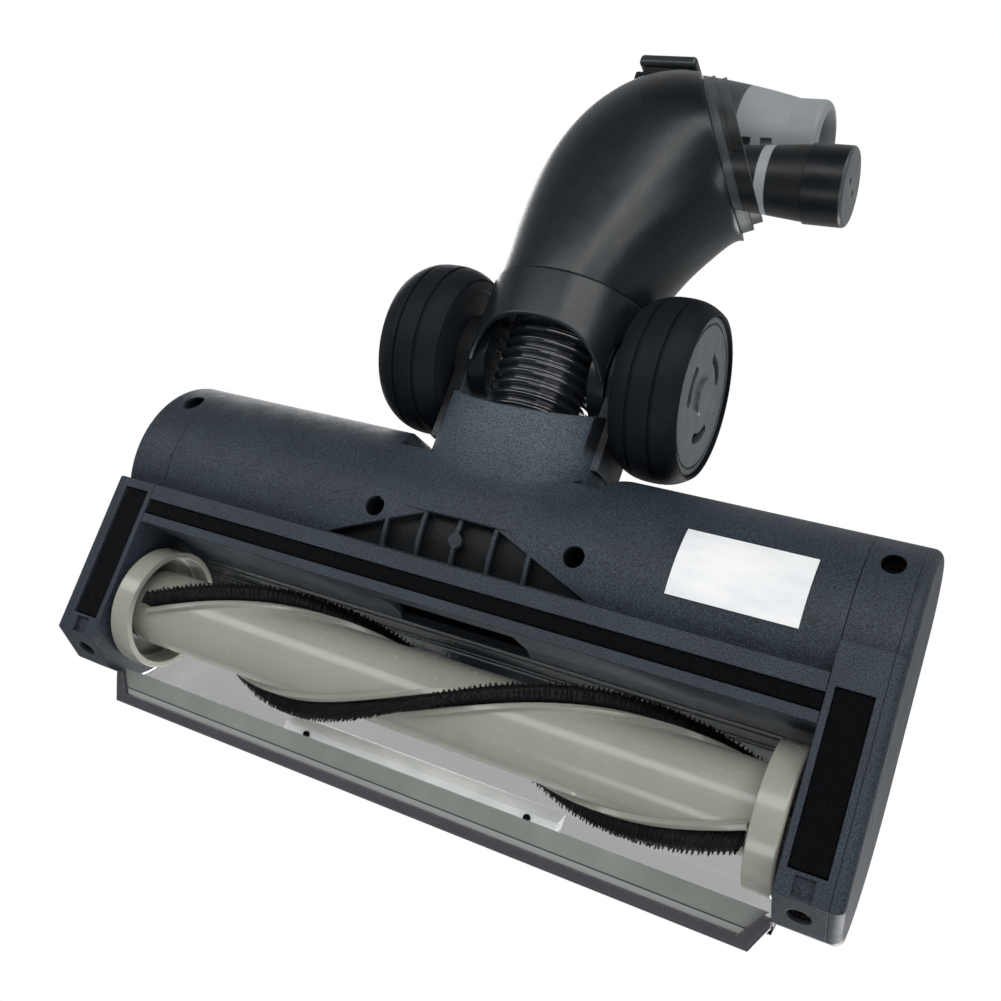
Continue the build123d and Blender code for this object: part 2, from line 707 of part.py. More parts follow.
def light_screw(side, radius):
    """Small screw up into the light bar."""
    cy, cz, curve = window_circle()
    middle = curve - WINDOW_THICK - PANE_GAP - LIGHT_THICK / 2
    y = cy - math.sqrt(middle ** 2 - (LIGHT_LOW + LIGHT_SCREW_LENGTH / 2 - cz) ** 2)
    place = Pos(side * LIGHT_SCREW_X, y) * Circle(radius)
    return xy_prism(place, LIGHT_LOW - LIGHT_SCREW_HEAD, LIGHT_LOW + LIGHT_SCREW_LENGTH)


def light_bar_screws():
    """The two screws of the light bar."""
    return Compound(children=[light_screw(side, LIGHT_SCREW_R) for side in (-1, 1)])


def helix_bar(inner_r, outer_r, width, shift, turn):
    """Rectangular bar wound round the roll at an angle, between two radii."""
    half = RING_INNER - BRISTLE_END_CLEAR
    middle = (inner_r + outer_r) / 2
    path = Helix(pitch=BRISTLE_PITCH, height=2 * half, radius=middle, lefthand=True)
    plane = Plane(origin=path @ 0, x_dir=(1, 0, 0), z_dir=path % 0)
    bar = sweep(plane * Rectangle(outer_r - inner_r, width), path=path, is_frenet=True)
    around = math.degrees(shift / middle)
    upright = Rot(0, 0, turn + around) * bar
    return Pos(-half, ROLL_Y, ROLL_Z) * Rot(0, 90, 0) * upright


def brush_core():
    """Roll body with raised lips on both sides of each bristle row."""
    end = RING_OUTER - RING_WALL - CORE_END_CLEAR
    core = rod_x(ROLL_Y, ROLL_Z, CORE_R, -end, end)
    offset_lip = BRISTLE_WIDTH / 2 + LIP_GAP + LIP_WIDTH / 2
    for row in range(BRISTLE_ROWS):
        turn = ROLL_TURN + row * 360 / BRISTLE_ROWS
        for side in (-1, 1):
            core += helix_bar(CORE_R - LIP_SINK, CORE_R + LIP_HEIGHT, LIP_WIDTH, side * offset_lip, turn)
    return core - rod_x(ROLL_Y, ROLL_Z, AXLE_R + CORE_BORE_GAP, -end - OVER, end + OVER)


def bristle_strips():
    """Bristle rows, each a closed bar of the tuft's outer size."""
    rows = []
    for row in range(BRISTLE_ROWS):
        turn = ROLL_TURN + row * 360 / BRISTLE_ROWS
        rows.append(helix_bar(CORE_R + CORE_BORE_GAP, BRISTLE_TIP_R, BRISTLE_WIDTH, 0, turn))
    return Compound(children=rows)


def end_ring():
    """Cup at the +X end of the roll, open towards the bristles."""
    cup = rod_x(ROLL_Y, ROLL_Z, RING_R, RING_INNER, RING_OUTER)
    cup -= rod_x(ROLL_Y, ROLL_Z, RING_R - RING_WALL, RING_INNER - OVER, RING_OUTER - RING_WALL)
    cup = fillet(cup.edges().filter_by(GeomType.CIRCLE).sort_by(Axis.X)[-1:], RING_WALL / 2)
    return cup - rod_x(ROLL_Y, ROLL_Z, AXLE_R + CORE_BORE_GAP, RING_INNER - OVER, RING_OUTER + OVER)


def brush_axle():
    """Steel axle through the roll, from the idle bearing to the pulley."""
    idle_end = -BEARING_FACE - BEARING_WIDTH - AXLE_END_CLEAR
    return rod_x(ROLL_Y, ROLL_Z, AXLE_R, idle_end, PULLEY_X0 + PULLEY_WIDTH)


def brush_bearing():
    """Plain bearing in the +X block."""
    return tube_x(ROLL_Y, ROLL_Z, BEARING_R, AXLE_R + RUN_GAP, BEARING_FACE, BEARING_FACE + BEARING_WIDTH)


def pulley(y, z, radius, bore):
    """Flat-belt pulley with two flanges."""
    x1 = PULLEY_X0 + PULLEY_WIDTH
    wheel = rod_x(y, z, radius, PULLEY_X0, x1)
    flange = (PULLEY_WIDTH - BELT_WIDTH) / 2 - BELT_SIDE_GAP
    for x in (PULLEY_X0, x1 - flange):
        wheel += rod_x(y, z, radius + PULLEY_FLANGE, x, x + flange)
    return wheel - rod_x(y, z, bore, PULLEY_X0 - OVER, x1 + OVER)


def drive_belt():
    """Flat belt round both pulleys."""
    inner = belt_path(BRUSH_PULLEY_R + BELT_GAP, MOTOR_PULLEY_R + BELT_GAP)
    outer = belt_path(BRUSH_PULLEY_R + BELT_GAP + BELT_THICK, MOTOR_PULLEY_R + BELT_GAP + BELT_THICK)
    middle = PULLEY_X0 + PULLEY_WIDTH / 2
    return yz_prism(outer - inner, middle - BELT_WIDTH / 2, middle + BELT_WIDTH / 2)


def brush_motor():
    """Motor can in the belly."""
    can = rod_x(MOTOR_Y, MOTOR_Z, MOTOR_R, MOTOR_X0, MOTOR_X1)
    can = fillet(can.edges(), MOTOR_ROUND)
    can += rod_x(MOTOR_Y, MOTOR_Z, MOTOR_NOSE_R, MOTOR_X1 - MOTOR_ROUND, BODY_HALF - WALL)
    return can - rod_x(MOTOR_Y, MOTOR_Z, MOTOR_SHAFT_R + RUN_GAP, MOTOR_X0 + MOTOR_BACK, BODY_HALF)


def motor_shaft():
    """Motor shaft out to the drive pulley."""
    start = MOTOR_X0 + MOTOR_BACK + MOTOR_SHAFT_END_GAP
    return rod_x(MOTOR_Y, MOTOR_Z, MOTOR_SHAFT_R, start, PULLEY_X0 + PULLEY_WIDTH)


def pivot_axle():
    """Pin through ear and leg that carries the wheel, on the +X side."""
    pin = rod_x(PIVOT_Y, PIVOT_Z, PIN_R, LEG_INNER, HUBCAP_FACE - HUBCAP_THICK - HUBCAP_GAP)
    return chamfer(pin.edges(), PIN_CHAMFER)


def tyre_section():
    """Section of the tyre in (X, radius), with rounded shoulders and two tread grooves."""
    width = WHEEL_OUTER - WHEEL_INNER
    tyre = Pos(WHEEL_INNER + width / 2, WHEEL_R - TYRE_THICK / 2) * Rectangle(width, TYRE_THICK)
    tyre = fillet(tyre.vertices().sort_by(Axis.Y)[-2:], TYRE_ROUND)
    for x in GROOVE_OFFSETS:
        tyre -= Pos(WHEEL_INNER + x, WHEEL_R) * Rectangle(GROOVE_WIDTH, 2 * GROOVE_DEPTH)
    return tyre


def tyre():
    """Rubber tyre of the +X wheel."""
    return Pos(0, PIVOT_Y, PIVOT_Z) * revolve(tyre_section(), Axis.X)


def wheel_hub():
    """Dished wheel of the +X side, closed on the inside, open towards its cap."""
    face = HUBCAP_FACE - HUBCAP_THICK - HUBCAP_GAP
    hub = rod_x(PIVOT_Y, PIVOT_Z, HUB_R, WHEEL_INNER, face)
    rim_r = HUB_R - HUB_WEB
    hub -= tube_x(PIVOT_Y, PIVOT_Z, rim_r, HUB_BOSS_R, WHEEL_INNER + HUB_WEB, face + OVER)
    hub -= tube_x(PIVOT_Y, PIVOT_Z, rim_r, HUB_BOSS_R + HUB_WEB, WHEEL_INNER - OVER, WHEEL_INNER + HUB_DISH)
    return hub - rod_x(PIVOT_Y, PIVOT_Z, PIN_R + RUN_GAP, WHEEL_INNER - OVER, face + OVER)


def hubcap():
    """Round cover of the +X wheel, with a rim groove, a round boss and curved slots about it."""
    x0 = HUBCAP_FACE - HUBCAP_THICK
    cap = rod_x(PIVOT_Y, PIVOT_Z, HUB_R, x0, HUBCAP_FACE)
    cap = fillet(cap.edges().sort_by(Axis.X)[-1:], HUBCAP_RIM)
    groove_r = HUB_R - HUBCAP_GROOVE_INSET
    cap -= tube_x(PIVOT_Y, PIVOT_Z, groove_r, groove_r - HUBCAP_GROOVE_WIDTH,
                  HUBCAP_FACE - HUBCAP_GROOVE_DEPTH, WHEEL_OUTER)
    boss = rod_x(PIVOT_Y, PIVOT_Z, HUBCAP_BOSS_R, HUBCAP_FACE - HUBCAP_RIM, WHEEL_OUTER)
    cap += fillet(boss.edges().sort_by(Axis.X)[-1:], HUBCAP_BOSS_RISE / 2)
    for index in range(HUBCAP_SLOTS):
        turn = Rot(0, 0, index * 360 / HUBCAP_SLOTS)
        slot = SlotArc(CenterArc((0, 0), HUBCAP_SLOT_PLACE, 0, HUBCAP_SLOT_SPREAD), HUBCAP_SLOT_WIDTH)
        cap -= yz_prism(Pos(PIVOT_Y, PIVOT_Z) * turn * slot, x0 - OVER, WHEEL_OUTER + OVER)
    return cap


def fork_leg():
    """Leg of the fork on the +X side, a plate with a round eye, ending at the hose cuff."""
    eye = Pos(PIVOT_Y, PIVOT_Z) * Circle(LEG_R)
    arm = Pos((PIVOT_Y + LEG_REAR) / 2, PIVOT_Z) * Rectangle(LEG_REAR - PIVOT_Y, 2 * LEG_ARM_HALF)
    hole = Pos(PIVOT_Y, PIVOT_Z) * Circle(PIN_R + RUN_GAP)
    ahead = Pos(LEG_REAR - 2 * LEG_R, PIVOT_Z) * Rectangle(4 * LEG_R, 4 * LEG_R)
    return yz_prism((eye + arm - hole) & ahead, LEG_INNER, LEG_OUTER)


def yoke_fork():
    """Fork between the wheels and the swivel, arched underneath to let the hose through."""
    tube = tube_y(0, SWIVEL_Z, FORK_R, FORK_BORE_R, FORK_FRONT, SEAM_Y)
    arch = rod_y(0, SWIVEL_Z, FORK_ARCH_HALF, FORK_FRONT - OVER, FORK_FRONT + OVER)
    tube -= arch
    below = box(-FORK_ARCH_HALF, FORK_ARCH_HALF, FORK_FRONT - REACH, FORK_ARCH_Y,
                SWIVEL_Z - FORK_R - OVER, SWIVEL_Z)
    below = fillet(below.edges().filter_by(Axis.Z).sort_by(Axis.Y)[-2:], FORK_ARCH_HALF / 2)
    tube -= below
    for side in (-1, 1):
        swing = rod_x(PIVOT_Y, PIVOT_Z, EAR_R + EAR_CLEAR, LEG_OUTER, FORK_R + OVER)
        leg = fork_leg()
        tube -= swing if side > 0 else flipped(swing)
        tube += leg if side > 0 else flipped(leg)
    return tube - rod_y(0, SWIVEL_Z, HOSE_R + LEG_EAR_GAP, FORK_FRONT - OVER, SEAM_Y + OVER)


def swivel_bush():
    """Bush in the fork on which the elbow turns."""
    return tube_y(0, SWIVEL_Z, BUSH_R, BUSH_R - BUSH_WALL, BUSH_FRONT, SEAM_Y + BUSH_REACH)


def hose():
    """Corrugated hose between the two cuffs."""
    step = (HOSE_REAR - HOSE_FRONT) / HOSE_RIBS
    points = [(HOSE_ROOT_R, HOSE_FRONT)]
    for index in range(HOSE_RIBS):
        y = HOSE_FRONT + index * step
        flank = HOSE_FLANK * step
        points += [(HOSE_R, y + flank), (HOSE_R, y + step - flank), (HOSE_ROOT_R, y + step)]
    points += [(HOSE_BORE_R, HOSE_REAR), (HOSE_BORE_R, HOSE_FRONT)]
    section = make_face(Polyline(*points, close=True))
    return Pos(0, 0, NECK_Z) * revolve(section, Axis.Y)


def front_hose_cuff():
    """Oval plug in the neck that holds the front end of the hose."""
    plug = neck(WALL + CUFF_GAP, CUFF_START, HOSE_FRONT)
    return plug - rod_y(0, NECK_Z, CUFF_BORE_R, CUFF_START - OVER, HOSE_FRONT + OVER)


def rear_hose_cuff():
    """Ring in the fork that holds the rear end of the hose."""
    return tube_y(0, NECK_Z, FORK_BORE_R - CUFF_GAP, CUFF_BORE_R, HOSE_REAR, HOSE_REAR + CUFF_LENGTH)


def elbow_section(inner, outer, half_height, centre_z, inset, shift):
    """Oval section of the elbow, moved along its normal by a small shift."""
    dx = outer[0] - inner[0]
    dy = outer[1] - inner[1]
    length = math.hypot(dx, dy)
    normal = (-dy / length, dx / length)
    centre_x = (inner[0] + outer[0]) / 2 + normal[0] * shift
    centre_y = (inner[1] + outer[1]) / 2 + normal[1] * shift
    plane = Plane((centre_x, centre_y, centre_z), x_dir=(dx, dy, 0), z_dir=(normal[0], normal[1], 0))
    return plane * Ellipse(length / 2 - inset, half_height - inset)


def elbow_solid(inset, ends):
    """Elbow loft, at a depth under its surface and lengthened at both ends."""
    start = SEAM_Y + SEAM_GAP - ends
    sections = [y_plane(0, start, SWIVEL_Z) * Ellipse(ELBOW_R - inset, ELBOW_R - inset)]
    for index, (inner, outer, half_height, centre_z) in enumerate(ELBOW_SECTIONS):
        last = index == len(ELBOW_SECTIONS) - 1
        sections.append(elbow_section(inner, outer, half_height, centre_z, inset, ends if last else 0))
    return loft(sections)


def button_box(shrink, y0, y1):
    """Box of the release button's outline, made smaller all round."""
    half_w = BUTTON_WIDTH / 2 - shrink
    half_h = BUTTON_HEIGHT / 2 - shrink
    return box(BUTTON_X - half_w, BUTTON_X + half_w, y0, y1, BUTTON_Z - half_h, BUTTON_Z + half_h)


def elbow_shell():
    """Hollow elbow from the swivel to the wand spigot, with the boss of the release button."""
    shell = elbow_solid(0, 0)
    boss = button_box(0, BUTTON_BOSS_ROOT, BUTTON_BOSS_TOP)
    shell += fillet(boss.edges().filter_by(Axis.Y), BUTTON_ROUND)
    shell -= elbow_solid(ELBOW_WALL, ELBOW_OVERRUN)
    floor_y = BUTTON_BOSS_TOP - POCKET_DEPTH
    shell += button_box(BUTTON_POCKET_INSET, floor_y - BUTTON_WALL, BUTTON_BOSS_TOP - OVER)
    shell -= button_box(BUTTON_WALL, floor_y, BUTTON_BOSS_TOP + OVER)
    socket_end = SEAM_Y + SOCKET_BORE_DEPTH
    shell += tube_y(0, SWIVEL_Z, ELBOW_R - ELBOW_WALL / 3, BUSH_R, SEAM_Y + SEAM_GAP, socket_end)
    return shell - rod_y(0, SWIVEL_Z, BUSH_R + RUN_GAP, SEAM_Y - OVER, socket_end + OVER)


def mouth_disc(inset, start, depth):
    """Oval plate set on the elbow's mouth."""
    section = elbow_section(*ELBOW_SECTIONS[-1], inset, start)
    return extrude(section, depth)


def spigot_section():
    """Half section of the spigot in (X, radius): a swelling taper, a straight land and a rounded lip."""
    lip_x = SPIGOT_LAND - SPIGOT_LAND_LENGTH
    lip_r = SPIGOT_R - SPIGOT_ROUND
    lip_middle = on_circle(lip_x, lip_r, SPIGOT_ROUND, 135)
    root = (SPIGOT_ROOT, SPIGOT_ROOT_R)
    land = (SPIGOT_LAND, SPIGOT_R)
    return make_face([
        Line((SPIGOT_ROOT, 0), root),
        ThreePointArc(root, (SPIGOT_WAIST, SPIGOT_WAIST_R), land),
        Line(land, (lip_x, SPIGOT_R)),
        ThreePointArc((lip_x, SPIGOT_R), lip_middle, (SPIGOT_END, lip_r)),
        Line((SPIGOT_END, lip_r), (SPIGOT_END, 0)),
        Line((SPIGOT_END, 0), (SPIGOT_ROOT, 0)),
    ])


def spigot_base():
    """Mouth rings, wand spigot and plug barrel in one moulding."""
    base = mouth_disc(MOUTH_STEP, MOUTH_GAP, MOUTH_STEP_DEPTH)
    base += mouth_disc(MOUTH_RING_STEP, MOUTH_GAP + MOUTH_STEP_DEPTH, MOUTH_RING_DEPTH)
    beyond = mouth_disc(-SPIGOT_ROOT_R, MOUTH_GAP, -PLUG_END)
    tube = Pos(0, SPIGOT_Y, SPIGOT_Z) * revolve(spigot_section(), Axis.X)
    cone = make_face(Polyline(
        (PLUG_ROOT, 0), (PLUG_ROOT, PLUG_ROOT_R), (PLUG_SEAM, PLUG_BARREL_R), (PLUG_SEAM, 0), close=True))
    barrel = Pos(0, PLUG_Y, PLUG_Z) * revolve(cone, Axis.X)
    for part in (tube, barrel):
        base += part & beyond
    latch = Box(LATCH_WIDTH, SPIGOT_ROOT_R - LATCH_FLOOR_R, LATCH_LENGTH)
    for x in LATCH_X:
        place = Pos(x, SPIGOT_Y, SPIGOT_Z) * Rot(LATCH_TURN, 0, 0)
        base -= place * Pos(0, (SPIGOT_ROOT_R + LATCH_FLOOR_R) / 2, 0) * latch
    base -= rod_x(PLUG_Y, PLUG_Z, PLUG_BORE_R, PLUG_SEAM - OVER, PLUG_SEAM + CONTACT_DEPTH)
    return base - rod_x(SPIGOT_Y, SPIGOT_Z, SPIGOT_BORE_R, SPIGOT_END - OVER, 0)


def contact_place(side):
    """Place of one contact hole in the plug's face."""
    return PLUG_Y, PLUG_Z + side * CONTACT_HALF_PITCH


def plug_cap():
    """End cap of the plug barrel, with its two contact holes."""
    cap = rod_x(PLUG_Y, PLUG_Z, PLUG_R, PLUG_END, PLUG_SEAM - PANE_GAP)
    cap = fillet(cap.edges().sort_by(Axis.X)[:1], PLUG_ROUND)
    for side in (-1, 1):
        y, z = contact_place(side)
        cap -= rod_x(y, z, CONTACT_R + RUN_GAP, PLUG_END - OVER, PLUG_SEAM + OVER)
    return cap


def contact_pins():
    """Two contact pins in the plug."""
    pins = []
    for side in (-1, 1):
        y, z = contact_place(side)
        pins.append(rod_x(y, z, CONTACT_R, PLUG_END + CONTACT_SINK, PLUG_SEAM + CONTACT_DEPTH))
    return Compound(children=pins)


def release_button():
    """Push button with a broad cap and a stem in the elbow's boss."""
    cap_low = BUTTON_BOSS_TOP + BUTTON_LIFT
    cap = button_box(0, cap_low, cap_low + BUTTON_CAP_THICK)
    cap = fillet(cap.edges(), BUTTON_ROUND)
    return cap + button_box(BUTTON_WALL + BUTTON_STEM_GAP, BUTTON_BOSS_TOP - BUTTON_STEM_LENGTH, cap_low + OVER)


def button_spring():
    """Coil spring under the button's stem."""
    low = BUTTON_BOSS_TOP - POCKET_DEPTH + SPRING_WIRE_R
    high = BUTTON_BOSS_TOP - BUTTON_STEM_LENGTH - SPRING_WIRE_R
    path = Helix(pitch=(high - low) / SPRING_TURNS, height=high - low, radius=SPRING_R)
    wire = sweep(Plane(path @ 0, z_dir=path % 0) * Circle(SPRING_WIRE_R), path=path, is_frenet=True)
    return Pos(BUTTON_X, low, BUTTON_Z) * Rot(-90, 0, 0) * wire


def nodes():
    """Every piece of the head by name."""
    pieces = {
        "lower_housing": lower_housing(),
        "upper_housing": upper_housing(),
        "clear_window": clear_window(),
        "front_bumper": front_bumper(),
        "light_bar": light_bar(),
        "light_bar_screws": light_bar_screws(),
        "left_end_block": left_end_block(),
        "right_end_block": right_end_block(),
        "left_side_cap": side_cap(RAIL_REAR),
        "right_side_cap": flipped(side_cap(RIGHT_BLOCK_REAR)),
        "left_felt_pad": felt_pad(),
        "right_felt_pad": flipped(felt_pad()),
        "rear_felt_strip": rear_felt_strip(),
        "blank_label": blank_label(),
        "housing_screws": housing_screws(),
        "brush_core": brush_core(),
        "bristle_strips": bristle_strips(),
        "left_end_ring": end_ring(),
        "right_end_ring": flipped(end_ring()),
        "brush_axle": brush_axle(),
        "left_brush_bearing": brush_bearing(),
        "right_brush_bearing": flipped(brush_bearing()),
        "brush_pulley": pulley(ROLL_Y, ROLL_Z, BRUSH_PULLEY_R, AXLE_R + CORE_BORE_GAP),
        "motor_pulley": pulley(MOTOR_Y, MOTOR_Z, MOTOR_PULLEY_R, MOTOR_SHAFT_R + CORE_BORE_GAP),
        "drive_belt": drive_belt(),
        "brush_motor": brush_motor(),
        "motor_shaft": motor_shaft(),
        "yoke_fork": yoke_fork(),
        "swivel_bush": swivel_bush(),
        "hose": hose(),
        "front_hose_cuff": front_hose_cuff(),
        "rear_hose_cuff": rear_hose_cuff(),
        "elbow_shell": elbow_shell(),
        "spigot_base": spigot_base(),
        "plug_cap": plug_cap(),
        "contact_pins": contact_pins(),
        "release_button": release_button(),
        "button_spring": button_spring(),
    }
    wheel_parts = {"pivot_axle": pivot_axle(), "wheel_hub": wheel_hub(), "tyre": tyre(), "hubcap": hubcap()}
    for name, shape in wheel_parts.items():
        pieces["left_" + name] = shape
        pieces["right_" + name] = flipped(shape)
    return pieces


os.makedirs("parts", exist_ok=True)
for node_name, node_shape in nodes().items():
    export_step(node_shape, "parts/" + node_name + ".step")
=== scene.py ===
import bmesh
import bpy
import math
import random
from mathutils import Matrix, Vector, noise


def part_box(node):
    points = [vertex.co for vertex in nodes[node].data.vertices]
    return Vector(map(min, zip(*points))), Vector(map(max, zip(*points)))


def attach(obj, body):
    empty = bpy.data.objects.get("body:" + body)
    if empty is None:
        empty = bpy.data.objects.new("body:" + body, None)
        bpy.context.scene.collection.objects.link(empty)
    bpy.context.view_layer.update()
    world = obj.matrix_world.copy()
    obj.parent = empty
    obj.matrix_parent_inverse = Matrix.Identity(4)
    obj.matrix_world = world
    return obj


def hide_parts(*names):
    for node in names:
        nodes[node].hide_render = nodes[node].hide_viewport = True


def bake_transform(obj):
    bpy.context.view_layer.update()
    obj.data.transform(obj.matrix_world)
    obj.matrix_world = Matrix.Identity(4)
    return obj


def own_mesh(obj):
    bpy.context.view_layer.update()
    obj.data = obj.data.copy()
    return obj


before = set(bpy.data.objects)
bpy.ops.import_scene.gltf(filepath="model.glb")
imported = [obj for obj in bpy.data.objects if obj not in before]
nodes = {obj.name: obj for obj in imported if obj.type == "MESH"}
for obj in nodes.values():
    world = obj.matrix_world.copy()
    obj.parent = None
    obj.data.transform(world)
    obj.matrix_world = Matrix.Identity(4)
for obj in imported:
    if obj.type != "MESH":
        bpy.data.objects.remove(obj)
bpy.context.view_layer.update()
random.seed(11)

# Camera, fitted to the photograph; metres, image taken as square
CAMERA_PLACE = Vector((-0.1466, -0.0353, -0.2791))
CAMERA_RIGHT = Vector((-0.8781, 0.3197, 0.3559))
CAMERA_UP = Vector((0.2127, 0.9272, -0.3082))
CAMERA_BACK = Vector((-0.4285, -0.1949, -0.8823))
CAMERA_LENS = 39.38
CAMERA_SENSOR = 36.0

# Roll and bristles
BRISTLE_PITCH = 0.224
BRISTLE_ROWS = 2
TUFT_STEP = 0.00135
TUFT_FILAMENTS = 14
TUFT_COLUMNS = (-0.0011, 0.0, 0.0011)
FILAMENT_R = 0.00014
BAR_WIDTH = 0.0029
BAR_SHARE = 0.8
BAR_STEP = 0.001
ROW_END_GAP = 0.0012
TUFT_SPREAD = 0.0003
TUFT_POINT = 130.0
TUFT_LEAN = 0.05
TUFT_HEIGHT = (0.93, 0.985)
TUFT_DRAW = (0.5, 0.2)
FILAMENT_TAPER = 0.55
# Radius inside which the roll's end cups are painted darker as shade
CUP_INNER_R = 0.0172

# Hose
HOSE_RIBS = 13
HOSE_RING_STEPS = 72
HOSE_RIB_STEPS = 12
HOSE_RIB_DEPTH = 0.0022
HOSE_WALL = 0.0012
HOSE_CREST_POWER = 0.7

# Elbow mouth, spigot, plug and button
MOUTH_INNER = Vector((-0.045, 0.138, 0.03))
MOUTH_OUTER = Vector((-0.0198, 0.1876, 0.03))
MOUTH_RING_END = 0.0076
MOUTH_RIM_END = 0.0028
SPIGOT_CENTRE = (0.0, 0.1745, 0.038)
SPIGOT_CLEAR = 0.018
# The spigot is darker from this X to the elbow
SPIGOT_DARK_END_X = -0.036
PLUG_CENTRE = (0.0, 0.149, 0.0185)
PLUG_REACH = 0.0122
PLUG_COLLAR = (-0.0548, -0.0515)
RING_GREY_Y = 0.165
RING_GREY_SOFT = 0.003
PLUG_FACE_DEPTH = 0.0009
BUTTON_CAP_DEPTH = 0.0046
BUTTON_BED_FOOT = (0.0, 0.162, 0.0)
BUTTON_BED_LEAN = (1.0, -0.43, 0.0)
BUTTON_BED_SIDES = (-0.0318, -0.0112)
BUTTON_BED_TOP = 0.03

# Colours of the finishes and of their zones, with painted light and shade among them
JET = (0.003, 0.0045, 0.006)
SPIGOT_DARK = (0.045, 0.054, 0.058)
PLUG_GREY = (0.05, 0.058, 0.062)
SPIGOT_LIGHT = (0.225, 0.242, 0.252)
# Painted shade inside the roll's end cups
CUP_PAINTED_SHADE = (0.06, 0.058, 0.05)
# Painted light: the lighter grey of the neck, as if lit from the front
NECK_PAINTED_LIGHT = (0.047, 0.064, 0.079)
RIM_GREY = (0.032, 0.042, 0.045)
HOUSING_GREY = (0.02, 0.0283, 0.0377)
ARM_BLACK = (0.005, 0.0085, 0.0115)
ROLL_GREY = (0.27, 0.268, 0.23)
BUTTON_BLACK = (0.02, 0.024, 0.027)
BUMPER_GREY = (0.05, 0.046, 0.055)
WHEEL_GREY = (0.06, 0.068, 0.074)
HUB_BLACK = (0.006, 0.008, 0.011)
TYRE_BLACK = (0.003, 0.005, 0.008)
HOSE_BLACK = (0.008, 0.0105, 0.0145)
LINER_GREY = (0.02, 0.0265, 0.033)
# Painted highlights: light lines on the liner's beads and a pale line along its front edge
LINER_BEAD_PAINTED_HIGHLIGHT = (0.2, 0.22, 0.235)
LINER_EDGE_PAINTED_HIGHLIGHT = (0.62, 0.64, 0.65)
SCREW_BLACK = (0.006, 0.006, 0.007)
STEEL_GREY = (0.55, 0.55, 0.56)
CAN_GREY = (0.5, 0.5, 0.52)
BRONZE = (0.55, 0.4, 0.2)
ACETAL_WHITE = (0.62, 0.62, 0.6)
BELT_BLACK = (0.015, 0.015, 0.015)

# Pane under the window's nose
PANE_TOP = (0.0019, 0.0023)
PANE_LINE = 0.0017
PANE_LINE_WIDTH = 0.00035

# Belly, neck and the fillet between them
BELLY_Y = 0.0164
BELLY_Z = 0.034
BELLY_R = 0.032
# Painted shade in the pockets and screw wells under the belly's skin: depth of the skin, rear limit and
# half length
BELLY_SKIN = 0.0012
BELLY_REAR_OF_RAIL = 0.0046
BELLY_HALF = 0.124
NECK_Z = 0.027
NECK_HALF_WIDTH = 0.029
NECK_HALF_HEIGHT = 0.0235
# Where the painted light on the neck begins towards the rear, and how softly it fades in at the rear and
# the sides
NECK_PAINTED_LIGHT_Y = BELLY_Y + 0.7 * BELLY_R
NECK_PAINTED_LIGHT_SOFT = (0.009, 0.004)
# Where the ears and their arms are painted black as shade
EAR_START_Y = 0.0665
EAR_ARM_Y = 0.0505
EAR_INNER_X = 0.0246
FILLET_SIZE = 0.008
FILLET_Y = (0.0185, 0.0391)
FILLET_HALF = 0.0285
FILLET_CELLS = (40, 56)
FILLET_SKIN = 0.0008
FILLET_SINK = 0.0001
FILLET_THIN = 0.00005

# Cowl of the yoke over the hose's rear end
COWL_R = 0.02695
COWL_WALL = 0.0014
COWL_ROUND = 0.0007
COWL_TURN = math.radians(61.0)
COWL_CROWN_Y = 0.0848
COWL_DROP = 0.0125
COWL_REAR_Y = 0.1007
COWL_CELLS = (72, 26)
COWL_ARCH_POWER = 3
COWL_SPACING_POWER = 1.6

# Liner of the chamber's roof
LINER_R = 0.02285
LINER_WALL = 0.0011
LINER_DEGREES = (25.5, 54.5)
LINER_BEADS = (31.0, 40.5, 44.0)
LINER_BEAD_RISE = 0.0004
LINER_BEAD_SPREAD = 0.6
LINER_HALF = 0.111
LINER_CELLS = 96
# Where the painted highlight along the liner's front edge begins
LINER_EDGE_Y = -0.01945

# Tyres
TYRE_THICK = 0.004
TYRE_CROWN = 0.0034
TYRE_GROOVES = (0.0066, 0.014)
TYRE_GROOVE_WIDTH = 0.0009
TYRE_GROOVE_DEPTH = 0.0008
TYRE_CELLS = (120, 86)
TYRE_CROWN_POWER = 2.6

# Angles from which the edges of turned and sheet pieces stay sharp
TYRE_SHARP = math.radians(40.0)
SHELL_SHARP = math.radians(50.0)

# Felt
FELT_CELL = 0.0007
FELT_NAP = 0.00022
FELT_EDGE = 0.0005
FELT_FINE = 1700.0
FELT_BROAD = 520.0

# Patterns of the moulded finishes, per metre, and the depth of their grain
CLOUD_SCALE = 38.0
SCUFF_SCALE = 420.0
GLOSS_SCALE = 160.0
GLOSS_SPREAD = (0.05, 0.07)
GRAIN_DEPTH = 0.0002
COAT_ROUGH = 0.12
EDGE_SAMPLES = 6
EDGE_TURN = (0.6, 0.9)

# Light of the world on the part, and what mirrors in it from below
WORLD_SOFT = 0.42
MIRROR_BELOW = 0.1
MIRROR_ABOVE = 0.4
MIRROR_FADE = (-0.45, 0.15)

# Lamps: name, place, short side, power in watts, long side
LAMP_TARGET = (0.0, 0.06, 0.03)
LAMPS = (
    ("key_below", (0.35, 0.3, -0.95), 0.35, 6.0, 1.8),
    ("side_below", (-0.58, 0.65, -0.75), 0.8, 6.0, 0.8),
    ("front_below", (-0.35, -0.75, -0.55), 0.3, 4.0, 1.4),
    ("key_above", (-0.5, -0.6, 1.0), 0.8, 12.0, 0.8),
    ("fill_above", (0.7, 0.5, 0.8), 0.8, 7.0, 0.8),
)

# Floor, just under what the part rests on
FLOOR_HALF = 3.0
FLOOR_Z = -0.0006


def new_object(name, mesh):
    """An object in the scene for a finished mesh."""
    made = bpy.data.objects.new(name, mesh)
    bpy.context.scene.collection.objects.link(made)
    return made


def mesh_object(name, verts, faces, smooth=True):
    """A mesh piece from points and faces."""
    mesh = bpy.data.meshes.new(name)
    mesh.from_pydata(verts, [], faces)
    mesh.update()
    if smooth:
        mesh.shade_smooth()
    return new_object(name, mesh)


